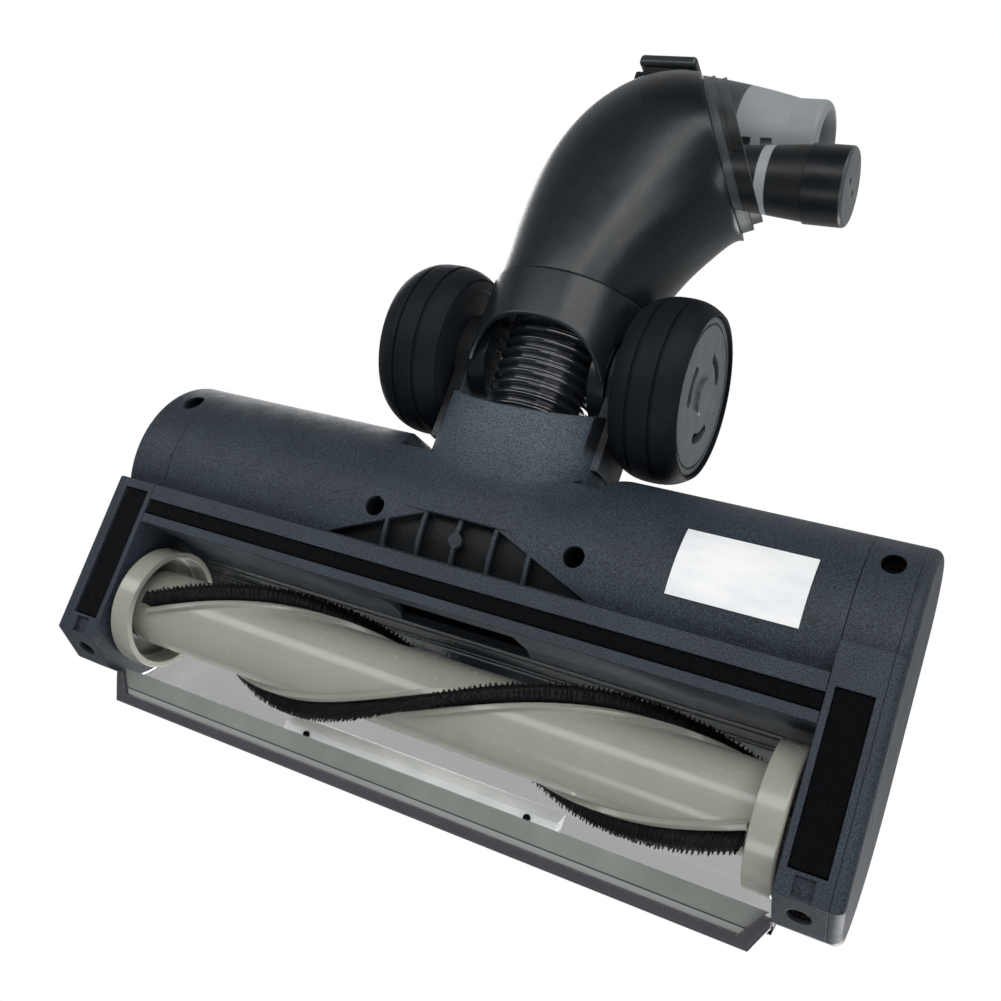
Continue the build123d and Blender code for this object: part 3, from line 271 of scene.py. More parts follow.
class Look:
    """A node material and short ways to add to it."""

    def __init__(self, name):
        self.material = bpy.data.materials.new(name)
        self.material.use_nodes = True
        self.tree = self.material.node_tree
        self.tree.nodes.clear()
        self.out = self.add("ShaderNodeOutputMaterial")
        self.place = self.add("ShaderNodeTexCoord").outputs["Object"]

    def add(self, kind, **values):
        """A node, with values for its input sockets by name."""
        made = self.tree.nodes.new(kind)
        for key, value in values.items():
            made.inputs[key.replace("_", " ")].default_value = value
        return made

    def join(self, source, target):
        self.tree.links.new(source, target)

    def noise(self, scale, detail=3.0, roughness=0.55, stretch=None):
        """Grey noise over the piece, with its scale per metre."""
        made = self.add("ShaderNodeTexNoise", Scale=scale, Detail=detail, Roughness=roughness)
        place = self.place
        if stretch:
            mapping = self.add("ShaderNodeMapping", Scale=stretch)
            self.join(place, mapping.inputs["Vector"])
            place = mapping.outputs["Vector"]
        self.join(place, made.inputs["Vector"])
        return made.outputs["Fac"]

    def spread(self, source, low, high, start=0.3, end=0.7):
        """A grey value mapped on to a range."""
        made = self.add("ShaderNodeMapRange")
        for key, value in (("From Min", start), ("From Max", end), ("To Min", low), ("To Max", high)):
            made.inputs[key].default_value = value
        self.join(source, made.inputs["Value"])
        return made.outputs["Result"]

    def mix(self, amount, first, second):
        """Two colours mixed by a grey value; each is a socket or a tuple."""
        made = self.add("ShaderNodeMix")
        made.data_type = "RGBA"
        self.join(amount, made.inputs["Factor"])
        for socket, value in ((made.inputs[6], first), (made.inputs[7], second)):
            if isinstance(value, tuple):
                socket.default_value = (*value, 1.0)
            else:
                self.join(value, socket)
        return made.outputs[2]

    def scaled(self, colour, amount):
        """A colour times a grey value."""
        made = self.add("ShaderNodeVectorMath")
        made.operation = "SCALE"
        self.join(colour, made.inputs[0])
        self.join(amount, made.inputs["Scale"])
        return made.outputs["Vector"]

    def along(self, direction, origin=(0.0, 0.0, 0.0)):
        """How far a place lies along a direction from a point, in metres."""
        shifted = self.add("ShaderNodeVectorMath")
        shifted.operation = "SUBTRACT"
        shifted.inputs[1].default_value = origin
        dot = self.add("ShaderNodeVectorMath")
        dot.operation = "DOT_PRODUCT"
        dot.inputs[1].default_value = direction
        self.join(self.place, shifted.inputs[0])
        self.join(shifted.outputs["Vector"], dot.inputs[0])
        return dot.outputs["Value"]

    def from_axis(self, centre):
        """How far a place lies from a line along X, in metres."""
        shifted = self.add("ShaderNodeVectorMath")
        shifted.operation = "SUBTRACT"
        shifted.inputs[1].default_value = centre
        flat = self.add("ShaderNodeVectorMath")
        flat.operation = "MULTIPLY"
        flat.inputs[1].default_value = (0.0, 1.0, 1.0)
        length = self.add("ShaderNodeVectorMath")
        length.operation = "LENGTH"
        self.join(self.place, shifted.inputs[0])
        self.join(shifted.outputs["Vector"], flat.inputs[0])
        self.join(flat.outputs["Vector"], length.inputs[0])
        return length.outputs["Value"]

    def over(self, value, limit, soft=0.00015):
        """1 where a value is over a limit."""
        return self.spread(value, 0.0, 1.0, limit - soft, limit + soft)

    def under(self, value, limit, soft=0.00015):
        """1 where a value is under a limit."""
        return self.spread(value, 1.0, 0.0, limit - soft, limit + soft)

    def both(self, *masks):
        """1 where all masks are 1."""
        result = masks[0]
        for mask in masks[1:]:
            product = self.add("ShaderNodeMath")
            product.operation = "MULTIPLY"
            self.join(result, product.inputs[0])
            self.join(mask, product.inputs[1])
            result = product.outputs[0]
        return result

    def edges(self, radius):
        """The rounded normal and a mask that is 1 along convex and concave edges."""
        bevel = self.add("ShaderNodeBevel", Radius=radius)
        bevel.samples = EDGE_SAMPLES
        geometry = self.add("ShaderNodeNewGeometry")
        dot = self.add("ShaderNodeVectorMath")
        dot.operation = "DOT_PRODUCT"
        self.join(bevel.outputs["Normal"], dot.inputs[0])
        self.join(geometry.outputs["Normal"], dot.inputs[1])
        return bevel.outputs["Normal"], self.spread(dot.outputs["Value"], 1.0, 0.0, *EDGE_TURN)

    def bump(self, height, strength, distance, normal=None):
        """A bump on top of a normal."""
        made = self.add("ShaderNodeBump", Strength=strength, Distance=distance)
        self.join(height, made.inputs["Height"])
        if normal:
            self.join(normal, made.inputs["Normal"])
        return made.outputs["Normal"]

    def surface(self, **values):
        """The main shader, joined to the output."""
        shader = self.add("ShaderNodeBsdfPrincipled", **values)
        self.join(shader.outputs[0], self.out.inputs["Surface"])
        return shader


def lighter(colour, factor):
    """A colour made lighter or darker by a factor."""
    return tuple(min(1.0, channel * factor) for channel in colour)


def moulded(name, colour, rough=0.45, grain=0.0, grain_scale=2600.0, tone=0.16, wear=1.7, round_edge=0.0004,
            specular=0.5, coat=0.0, zones=None, speckle=0.0, patchy=1.0):
    """Moulded plastic: cloudy tone, fine grain, softened edges worn lighter, zones of other colours."""
    look = Look(name)
    normal, edge = look.edges(round_edge)
    cloud = look.spread(look.noise(CLOUD_SCALE), 0.0, 1.0)
    base = look.mix(cloud, lighter(colour, 1.0 - tone), lighter(colour, 1.0 + tone))
    for mask, other in zones(look) if zones else ():
        base = look.mix(mask, base, other)
    if speckle:
        grains = look.noise(grain_scale, 2.0, 0.6)
        base = look.scaled(base, look.spread(grains, 1.0 - speckle, 1.0 + speckle))
    if wear > 1.0:
        scuff = look.spread(look.noise(SCUFF_SCALE, 4.0, 0.7), 0.0, 1.0, 0.42, 0.72)
        base = look.mix(look.both(edge, scuff), base, lighter(colour, wear))
    shader = look.surface(Specular_IOR_Level=specular, Coat_Weight=coat, Coat_Roughness=COAT_ROUGH)
    look.join(base, shader.inputs["Base Color"])
    less, more = (patchy * amount for amount in GLOSS_SPREAD)
    gloss = look.spread(look.noise(GLOSS_SCALE, 4.0), rough - less, rough + more)
    look.join(gloss, shader.inputs["Roughness"])
    if grain:
        normal = look.bump(look.noise(grain_scale, 2.0, 0.6), grain, GRAIN_DEPTH, normal)
    look.join(normal, shader.inputs["Normal"])
    return look.material


def mouth_frame():
    """Middle and outward direction of the elbow's mouth."""
    across = MOUTH_OUTER - MOUTH_INNER
    out = Vector((-across.y, across.x, 0.0)).normalized()
    return (MOUTH_INNER + MOUTH_OUTER) / 2, out


def spigot_zones(look):
    """Dark root of the spigot, rings next to the elbow, black plug barrel and its pale collar."""
    middle, out = mouth_frame()
    depth = look.along(out, middle)
    x = look.along((1.0, 0.0, 0.0))
    spigot_gap = look.from_axis(SPIGOT_CENTRE)
    plug_gap = look.from_axis(PLUG_CENTRE)
    ring = look.both(look.under(depth, MOUTH_RING_END), look.over(spigot_gap, SPIGOT_CLEAR))
    barrel = look.both(look.over(depth, MOUTH_RING_END), look.under(plug_gap, PLUG_REACH))
    collar = look.both(barrel, look.over(x, PLUG_COLLAR[0]), look.under(x, PLUG_COLLAR[1]))
    grey_ring = look.both(ring, look.over(look.along((0.0, 1.0, 0.0)), RING_GREY_Y, RING_GREY_SOFT))
    rim = look.both(ring, look.under(depth, MOUTH_RIM_END))
    root = look.over(x, SPIGOT_DARK_END_X)
    return [(root, SPIGOT_DARK), (ring, JET), (rim, RIM_GREY), (grey_ring, SPIGOT_DARK), (barrel, JET),
            (collar, SPIGOT_LIGHT)]


def plug_zones(look):
    """Grey end face of the plug."""
    low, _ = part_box("plug_cap")
    x = look.along((1.0, 0.0, 0.0))
    return [(look.under(x, low.x + PLUG_FACE_DEPTH), PLUG_GREY)]


def button_zones(look):
    """Black stem under the button's cap."""
    _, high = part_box("release_button")
    y = look.along((0.0, 1.0, 0.0))
    return [(look.under(y, high.y - BUTTON_CAP_DEPTH), JET)]


def elbow_zones(look):
    """Black bed that runs from the release button round the elbow."""
    aside = look.along(BUTTON_BED_LEAN, BUTTON_BED_FOOT)
    rise = look.along((0.0, 1.0, 0.0), BUTTON_BED_FOOT)
    near = look.under(look.along((0.0, 0.0, 1.0)), BUTTON_BED_TOP)
    sides = look.both(look.over(aside, BUTTON_BED_SIDES[0]), look.under(aside, BUTTON_BED_SIDES[1]))
    return [(look.both(sides, look.over(rise, 0.0, 0.0015), near), JET)]


def housing_painted_light_and_shade(look):
    """Painted light and shade: a lighter neck, black ears and arms as shade, and black pockets and screw
    wells under the belly's skin as shade.
    """
    x = look.along((1.0, 0.0, 0.0))
    y = look.along((0.0, 1.0, 0.0))
    z = look.along((0.0, 0.0, 1.0))
    gap = look.from_axis((0.0, BELLY_Y, BELLY_Z))
    # Painted shade: the pockets and screw wells under the belly's skin are painted black
    inside = look.both(look.over(x, -BELLY_HALF), look.under(x, BELLY_HALF))
    wells_painted_shade = look.both(look.under(gap, BELLY_R - BELLY_SKIN), look.over(y, BELLY_REAR_OF_RAIL),
                      look.under(z, BELLY_Z / 2), inside)
    rear_soft, side_soft = NECK_PAINTED_LIGHT_SOFT
    # Painted light: a lighter band over the neck
    middle = look.both(look.over(x, -NECK_HALF_WIDTH, side_soft), look.under(x, NECK_HALF_WIDTH, side_soft))
    neck = look.both(look.over(y, NECK_PAINTED_LIGHT_Y, rear_soft), middle)
    # Painted shade: the ears and their arms are painted black
    ears_painted_shade = look.over(y, EAR_START_Y, 0.004)
    left_arm_painted_shade = look.both(look.over(x, EAR_INNER_X), look.over(y, EAR_ARM_Y, 0.002))
    right_arm_painted_shade = look.both(look.under(x, -EAR_INNER_X), look.over(y, EAR_ARM_Y, 0.002))
    return [(neck, NECK_PAINTED_LIGHT), (ears_painted_shade, JET), (left_arm_painted_shade, JET), (right_arm_painted_shade, JET), (wells_painted_shade, JET)]


def ring_painted_shade(look):
    """Painted shade: the inside of the roll's end cups is painted darker."""
    low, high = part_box("brush_axle")
    return [(look.under(look.from_axis((low + high) / 2), CUP_INNER_R, 0.0004), CUP_PAINTED_SHADE)]


def liner_painted_highlights(look):
    """Painted highlights: light lines on the liner's beads and a pale line along its front edge."""
    low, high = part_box("brush_axle")
    centre = (low + high) / 2
    bead = look.under(look.from_axis(centre), LINER_R - 0.4 * LINER_BEAD_RISE, 0.0001)
    edge = look.under(look.along((0.0, 1.0, 0.0)), LINER_EDGE_Y)
    return [(bead, LINER_BEAD_PAINTED_HIGHLIGHT), (edge, LINER_EDGE_PAINTED_HIGHLIGHT)]


def clear_plastic():
    """Clear window with a grey, lightly cloudy pane along its lower edge."""
    look = Look("clear_window")
    normal, _ = look.edges(0.0006)
    split = look.add("ShaderNodeSeparateXYZ")
    look.join(look.place, split.inputs[0])
    low_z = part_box("clear_window")[0].z
    pane = look.spread(split.outputs["Z"], 1.0, 0.0, low_z + PANE_TOP[0], low_z + PANE_TOP[1])
    haze = look.spread(look.noise(60.0, 4.0), 0.9, 1.0)
    glass = look.add("ShaderNodeBsdfPrincipled", Transmission_Weight=1.0, IOR=1.3, Roughness=0.03)
    look.join(look.mix(haze, (0.9, 0.92, 0.93), (0.97, 0.98, 0.98)), glass.inputs["Base Color"])
    look.join(normal, glass.inputs["Normal"])
    grey = look.add("ShaderNodeBsdfPrincipled", Roughness=0.16, IOR=1.45)
    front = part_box("clear_window")[0].y
    y = look.along((0.0, 1.0, 0.0))
    cloud = look.spread(look.noise(70.0, 2.0), 0.0, 1.0)
    tint = look.mix(cloud, (0.17, 0.182, 0.165), (0.205, 0.215, 0.198))
    line = look.both(look.over(y, front + PANE_LINE), look.under(y, front + PANE_LINE + PANE_LINE_WIDTH))
    tint = look.mix(look.under(y, front + PANE_LINE), tint, (0.3, 0.315, 0.3))
    look.join(look.mix(line, tint, (0.02, 0.02, 0.022)), grey.inputs["Base Color"])
    look.join(normal, grey.inputs["Normal"])
    both = look.add("ShaderNodeMixShader")
    look.join(pane, both.inputs[0])
    look.join(glass.outputs[0], both.inputs[1])
    look.join(grey.outputs[0], both.inputs[2])
    light = look.add("ShaderNodeLightPath")
    through = look.add("ShaderNodeBsdfTransparent")
    final = look.add("ShaderNodeMixShader")
    look.join(light.outputs["Is Shadow Ray"], final.inputs[0])
    look.join(both.outputs[0], final.inputs[1])
    look.join(through.outputs[0], final.inputs[2])
    look.join(final.outputs[0], look.out.inputs["Surface"])
    return look.material


def felt_cloth():
    """Black felt with a soft, uneven nap."""
    look = Look("felt")
    fibre = look.noise(2600.0, 6.0, 0.75)
    shader = look.surface(Roughness=0.95, Specular_IOR_Level=0.03, Sheen_Weight=0.04, Sheen_Roughness=0.5)
    tone = look.spread(fibre, 0.0, 1.0, 0.35, 0.75)
    look.join(look.mix(tone, (0.001, 0.001, 0.0016), (0.006, 0.0065, 0.008)), shader.inputs["Base Color"])
    look.join(look.bump(fibre, 0.7, 0.0004), shader.inputs["Normal"])
    return look.material


def bristle_nylon():
    """Black nylon filaments with a dull shine."""
    look = Look("bristle")
    shader = look.surface(Roughness=0.55, Specular_IOR_Level=0.25)
    tone = look.spread(look.noise(700.0, 4.0), 0.0, 1.0)
    look.join(look.mix(tone, (0.0015, 0.0015, 0.0018), (0.006, 0.006, 0.007)), shader.inputs["Base Color"])
    look.join(look.bump(look.noise(3000.0), 0.3, 0.0001), shader.inputs["Normal"])
    return look.material


def label_film():
    """Blank satin sticker, a little uneven."""
    look = Look("label")
    shader = look.surface(Roughness=0.45, Specular_IOR_Level=0.25)
    cloud = look.spread(look.noise(55.0, 3.0, 0.6, (1.0, 2.4, 1.0)), 0.0, 1.0, 0.35, 0.65)
    look.join(look.mix(cloud, (0.66, 0.67, 0.68), (0.76, 0.76, 0.76)), shader.inputs["Base Color"])
    look.join(look.bump(look.noise(240.0), 0.15, 0.0002), shader.inputs["Normal"])
    return look.material


def metal(name, colour, rough=0.3, lathe=900.0):
    """Turned or plated metal with fine tool marks."""
    look = Look(name)
    shader = look.surface(Metallic=1.0)
    marks = look.noise(lathe, 3.0, 0.6, (6.0, 1.0, 1.0))
    look.join(look.mix(look.spread(marks, 0.0, 1.0), lighter(colour, 0.85), lighter(colour, 1.1)),
              shader.inputs["Base Color"])
    look.join(look.spread(marks, rough - 0.06, rough + 0.08), shader.inputs["Roughness"])
    look.join(look.bump(marks, 0.15, 0.0001), shader.inputs["Normal"])
    return look.material


def milky_lens():
    """Milky light bar with a faint inner glow."""
    look = Look("light_lens")
    normal, _ = look.edges(0.0004)
    shader = look.surface(Roughness=0.2, Subsurface_Weight=0.3, Subsurface_Scale=0.001,
                          Subsurface_Radius=(1.0, 1.0, 1.0))
    cloud = look.spread(look.noise(120.0), 0.0, 1.0)
    look.join(look.mix(cloud, (0.6, 0.62, 0.61), (0.7, 0.71, 0.7)), shader.inputs["Base Color"])
    look.join(normal, shader.inputs["Normal"])
    return look.material


def dress(material, *names):
    """Gives a CAD node its finish."""
    for name in names:
        mesh = nodes[name].data
        mesh.materials.clear()
        mesh.materials.append(material)


def housing_plastic():
    """Grained dark plastic of the housing."""
    if "housing" not in bpy.data.materials:
        # The housing gets painted light on its neck and painted shade on its ears, their arms and its wells
        moulded("housing", HOUSING_GREY, 0.5, 0.45, 2200.0, specular=0.3, zones=housing_painted_light_and_shade, speckle=0.8)
    return bpy.data.materials["housing"]


def arm_plastic(name, zones=None):
    """Semi-gloss black plastic of the yoke and elbow."""
    return moulded(name, ARM_BLACK, 0.27, 0.04, 1900.0, wear=1.0, specular=0.42,
                   zones=zones, patchy=0.5)


def roll_plastic(name, zones=None):
    """Glossy warm grey of the roll and its end cups."""
    return moulded(name, ROLL_GREY, 0.22, 0.02, 1500.0, 0.05, 1.0, 0.0006, 0.5, 0.3, zones)


def dress_frame():
    """Finishes of the CAD nodes that show as they are."""
    housing = housing_plastic()
    dress(housing, "lower_housing", "upper_housing", "left_end_block", "right_end_block")
    dress(housing, "left_side_cap", "right_side_cap")
    dress(arm_plastic("arm"), "yoke_fork", "front_hose_cuff", "rear_hose_cuff")
    dress(arm_plastic("elbow", elbow_zones), "elbow_shell")
    dress(moulded("button", BUTTON_BLACK, 0.32, 0.1, zones=button_zones), "release_button")
    dress(clear_plastic(), "clear_window")
    dress(moulded("bumper", BUMPER_GREY, 0.26, 0.05, wear=1.0), "front_bumper")
    dress(milky_lens(), "light_bar")
    dress(metal("screw", SCREW_BLACK, 0.6), "light_bar_screws", "housing_screws")
    dress(label_film(), "blank_label")
    dress(roll_plastic("roll"), "brush_core")
    # The end rings get painted shade inside their cups
    dress(roll_plastic("roll_ring", ring_painted_shade), "left_end_ring", "right_end_ring")
    steel = metal("steel", STEEL_GREY)
    dress(steel, "brush_axle", "left_pivot_axle", "right_pivot_axle", "motor_shaft", "button_spring")
    dress(metal("motor_can", CAN_GREY, 0.35), "brush_motor")
    bronze = metal("bronze", BRONZE, 0.35)
    dress(bronze, "left_brush_bearing", "right_brush_bearing", "contact_pins")
    dress(moulded("acetal", ACETAL_WHITE, 0.4), "brush_pulley", "motor_pulley", "swivel_bush")
    dress(moulded("belt", BELT_BLACK, 0.7, 0.2), "drive_belt")
    wheel = moulded("wheel", WHEEL_GREY, 0.3, 0.1, 2200.0, specular=0.4)
    dress(wheel, "left_hubcap", "right_hubcap")
    dress(moulded("hub", HUB_BLACK, 0.4, 0.1, 2200.0), "left_wheel_hub", "right_wheel_hub")
    spigot = moulded("spigot", SPIGOT_LIGHT, 0.4, 0.06, tone=0.06, wear=1.0, specular=0.35,
                     zones=spigot_zones)
    dress(spigot, "spigot_base")
    dress(moulded("plug", JET, 0.3, 0.06, specular=0.3, zones=plug_zones), "plug_cap")


def roll_axis():
    """A point on the roll's axis, its core radius and its tip radius, from the frame."""
    low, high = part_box("brush_axle")
    centre = (low + high) / 2
    places = [vertex.co - centre for vertex in nodes["bristle_strips"].data.vertices]
    reach = [Vector((place.y, place.z)).length for place in places]
    return centre, min(reach), max(reach)


def bristle_phase(centre):
    """Angle of the first bristle row at X = 0, from the frame's bristle bars."""
    sum_cos = sum_sin = 0.0
    for vertex in nodes["bristle_strips"].data.vertices:
        angle = math.atan2(vertex.co.z - centre.z, vertex.co.y - centre.y)
        turned = BRISTLE_ROWS * (angle + 2 * math.pi * vertex.co.x / BRISTLE_PITCH)
        sum_cos += math.cos(turned)
        sum_sin += math.sin(turned)
    return math.atan2(sum_sin, sum_cos) / BRISTLE_ROWS


def roll_point(centre, x, angle, radius):
    """A point about the roll's axis."""
    return Vector((x, centre.y + radius * math.cos(angle), centre.z + radius * math.sin(angle)))


def filament(verts, faces, foot, tip, side, cross, radius):
    """A thin three-sided tapered filament."""
    start = len(verts)
    for place, size in ((foot, radius), (tip, radius * FILAMENT_TAPER)):
        for k in range(3):
            turn = 2 * math.pi * k / 3
            verts.append(place + (side * math.cos(turn) + cross * math.sin(turn)) * size)
    for k in range(3):
        after = (k + 1) % 3
        faces.append((start + k, start + after, start + 3 + after, start + 3 + k))
    faces.append((start + 3, start + 4, start + 5))


def bristle_bar(verts, faces, centre, phase, span, radii):
    """Dense foot of a bristle row: a bar that winds round the roll."""
    low_x, high_x = span
    root, top = radii
    stations = int((high_x - low_x) / BAR_STEP)
    start = len(verts)
    for index in range(stations + 1):
        x = low_x + (high_x - low_x) * index / stations
        angle = phase - 2 * math.pi * x / BRISTLE_PITCH
        half = BAR_WIDTH / 2 / root
        top_half = half * root / top
        for radius, aside in ((root, -half), (top, -top_half), (top, top_half), (root, half)):
            verts.append(roll_point(centre, x, angle + aside, radius))
    for index in range(stations):
        here = start + 4 * index
        for k in range(4):
            after = (k + 1) % 4
            faces.append((here + k, here + after, here + 4 + after, here + 4 + k))
    faces.append(tuple(range(start, start + 4)))
    faces.append(tuple(range(start + 4 * stations, start + 4 * stations + 4)))


def bristle_rows():
    """Rows of pointed tufts on a dense foot, wound round the roll."""
    centre, root, tip = roll_axis()
    phase = bristle_phase(centre)
    low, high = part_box("bristle_strips")
    span = (low.x + ROW_END_GAP, high.x - ROW_END_GAP)
    verts, faces = [], []
    count = int((span[1] - span[0]) / TUFT_STEP)
    along = Vector((1.0, 0.0, 0.0))
    for row in range(BRISTLE_ROWS):
        row_phase = phase + 2 * math.pi * row / BRISTLE_ROWS
        bristle_bar(verts, faces, centre, row_phase, span, (root, root + BAR_SHARE * (tip - root)))
        for index in range(count):
            x = span[0] + (index + 0.5) * TUFT_STEP
            for column in TUFT_COLUMNS:
                angle = row_phase - 2 * math.pi * x / BRISTLE_PITCH + column / root
                out = (roll_point(centre, x, angle, 1.0) - roll_point(centre, x, angle, 0.0)).normalized()
                around = Vector((0.0, -out.z, out.y))
                lean = random.uniform(-TUFT_LEAN, TUFT_LEAN)
                height = (tip - root) * random.uniform(*TUFT_HEIGHT)
                for _ in range(TUFT_FILAMENTS):
                    dx = random.gauss(0.0, TUFT_SPREAD)
                    da = random.gauss(0.0, TUFT_SPREAD)
                    foot = roll_point(centre, x, angle, root) + along * dx + around * da
                    length = height * (1.0 - TUFT_POINT * abs(dx))
                    fan = along * (lean * length - dx * TUFT_DRAW[0]) - around * da * TUFT_DRAW[1]
                    filament(verts, faces, foot, foot + out * length + fan, along, around, FILAMENT_R)
    return mesh_object("bristle_tufts", verts, faces)


def shell(name, outer, inner):
    """A closed sheet between two grids of points."""
    rows, columns = len(outer), len(outer[0])
    verts = [point for row in outer for point in row] + [point for row in inner for point in row]
    back = rows * columns
    faces = []
    for i in range(rows - 1):
        for j in range(columns - 1):
            a = i * columns + j
            quad = (a, a + 1, a + columns + 1, a + columns)
            faces.append(quad)
            faces.append(tuple(back + k for k in reversed(quad)))
    border = [j for j in range(columns)] + [i * columns + columns - 1 for i in range(1, rows)]
    border += [(rows - 1) * columns + j for j in reversed(range(columns - 1))]
    border += [i * columns for i in reversed(range(1, rows - 1))]
    for a, b in zip(border, border[1:] + border[:1]):
        faces.append((b, a, back + a, back + b))
    piece = mesh_object(name, verts, faces)
    piece.data.set_sharp_from_angle(angle=SHELL_SHARP)
    return piece


def steps(low, high, cells):
    """Evenly spaced values from one end to the other."""
    return [low + (high - low) * index / cells for index in range(cells + 1)]


def yoke_cowl():
    """Arched cowl at the bottom of the yoke that covers the hose's rear end."""
    outer, inner = [], []
    for turn in steps(-COWL_TURN, COWL_TURN, COWL_CELLS[0]):
        front = COWL_CROWN_Y - COWL_DROP * abs(turn / COWL_TURN) ** COWL_ARCH_POWER
        out_row, in_row = [], []
        for share in steps(0.0, 1.0, COWL_CELLS[1]):
            y = front + (COWL_REAR_Y - front) * share ** COWL_SPACING_POWER
            ease = max(0.0, 1.0 - (y - front) / COWL_ROUND)
            radius = COWL_R - COWL_ROUND * (1.0 - math.sqrt(1.0 - ease ** 2))
            for row, reach in ((out_row, radius), (in_row, COWL_R - COWL_WALL)):
                row.append((reach * math.sin(turn), y, NECK_Z - reach * math.cos(turn)))
        outer.append(out_row)
        inner.append(in_row)
    return shell("yoke_cowl", outer, inner)


def chamber_liner():
    """Glossy liner of the chamber's roof with fine beads, up to the window's rear edge."""
    low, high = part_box("brush_axle")
    centre = (low + high) / 2
    outer, inner = [], []
    for degrees in steps(*LINER_DEGREES, LINER_CELLS):
        rise = sum(math.exp(-((degrees - bead) / LINER_BEAD_SPREAD) ** 2) for bead in LINER_BEADS)
        angle = math.radians(degrees)
        for rows, radius in ((outer, LINER_R - LINER_BEAD_RISE * rise), (inner, LINER_R + LINER_WALL)):
            rows.append([roll_point(centre, x, angle, radius) for x in (-LINER_HALF, 0.0, LINER_HALF)])
    return shell("chamber_liner", inner, outer)


def neck_fillet():
    """Soft fillet between the belly and the hose neck."""
    outer, inner = [], []
    for y in steps(*FILLET_Y, FILLET_CELLS[0]):
        belly = BELLY_Z - math.sqrt(BELLY_R ** 2 - (y - BELLY_Y) ** 2)
        soft = max(1e-6, FILLET_SIZE * (1.0 - ((y - FILLET_Y[0]) / (FILLET_Y[1] - FILLET_Y[0])) ** 3))
        out_row, in_row = [], []
        for x in steps(-FILLET_HALF, FILLET_HALF, FILLET_CELLS[1]):
            neck = NECK_Z - NECK_HALF_HEIGHT * math.sqrt(1.0 - (x / NECK_HALF_WIDTH) ** 2)
            share = min(1.0, max(0.0, 0.5 + 0.5 * (neck - belly) / soft))
            fill = soft * share * (1.0 - share)
            sink = FILLET_SINK if fill < FILLET_THIN else 0.0
            z = neck + (belly - neck) * share - fill + sink
            out_row.append((x, y, z))
            in_row.append((x, y, z + FILLET_SKIN + fill))
        outer.append(out_row)
        inner.append(in_row)
    return shell("neck_fillet", outer, inner)


def tyre_profile(low_x, high_x, inner_x, radius):
    """Points (x, radius) round the section of a crowned tyre with two tread grooves."""
    middle = (low_x + high_x) / 2
    half = (high_x - low_x) / 2
    away = 1.0 if inner_x == low_x else -1.0
    points = []
    for x in steps(low_x, high_x, TYRE_CELLS[1]):
        crowned = radius - TYRE_CROWN * abs((x - middle) / half) ** TYRE_CROWN_POWER
        cut = any(abs((x - inner_x) * away - groove) < TYRE_GROOVE_WIDTH / 2 for groove in TYRE_GROOVES)
        points.append((x, crowned - (TYRE_GROOVE_DEPTH if cut else 0.0)))
    return points + [(high_x, radius - TYRE_THICK), (low_x, radius - TYRE_THICK)]


def crowned_tyre(name, node):
    """A tyre turned about its axle, with a rounded tread."""
    low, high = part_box(node)
    centre = (low + high) / 2
    inner_x = low.x if centre.x > 0.0 else high.x
    loop = tyre_profile(low.x, high.x, inner_x, (high.z - low.z) / 2)
    verts, faces = [], []
    for step in range(TYRE_CELLS[0]):
        turn = 2 * math.pi * step / TYRE_CELLS[0]
        verts += [roll_point(centre, x, turn, radius) for x, radius in loop]
    size = len(loop)
    for step in range(TYRE_CELLS[0]):
        here = step * size
        there = (step + 1) % TYRE_CELLS[0] * size
        for index in range(size):
            after = (index + 1) % size
            faces.append((here + index, there + index, there + after, here + after))
    piece = mesh_object(name, verts, faces)
    piece.data.set_sharp_from_angle(angle=TYRE_SHARP)
    return piece


def hose_profile(front, rear, crest, valley):
    """Points (y, radius) along the ribbed hose."""
    cells = HOSE_RIBS * HOSE_RIB_STEPS
    points = []
    for index in range(cells + 1):
        wave = 0.5 - 0.5 * math.cos(2 * math.pi * index / HOSE_RIB_STEPS)
        radius = valley + (crest - valley) * wave ** HOSE_CREST_POWER
        points.append((front + (rear - front) * index / cells, radius))
    return points


def ribbed_hose():
    """Corrugated hose, open at both ends, with a real wall."""
    low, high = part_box("hose")
    centre_z = (low.z + high.z) / 2
    crest = (high.x - low.x) / 2
    outer = hose_profile(low.y, high.y, crest, crest - HOSE_RIB_DEPTH)
    inner = [(y, radius - HOSE_WALL) for y, radius in reversed(outer)]
    loop = outer + inner
    verts, faces = [], []
    for step in range(HOSE_RING_STEPS):
        turn = 2 * math.pi * step / HOSE_RING_STEPS
        for y, radius in loop:
            verts.append((radius * math.cos(turn), y, centre_z + radius * math.sin(turn)))
    size = len(loop)
    for step in range(HOSE_RING_STEPS):
        here = step * size
        there = (step + 1) % HOSE_RING_STEPS * size
        for index in range(size):
            after = (index + 1) % size
            faces.append((here + index, here + after, there + after, there + index))
    return mesh_object("ribbed_hose", verts, faces)


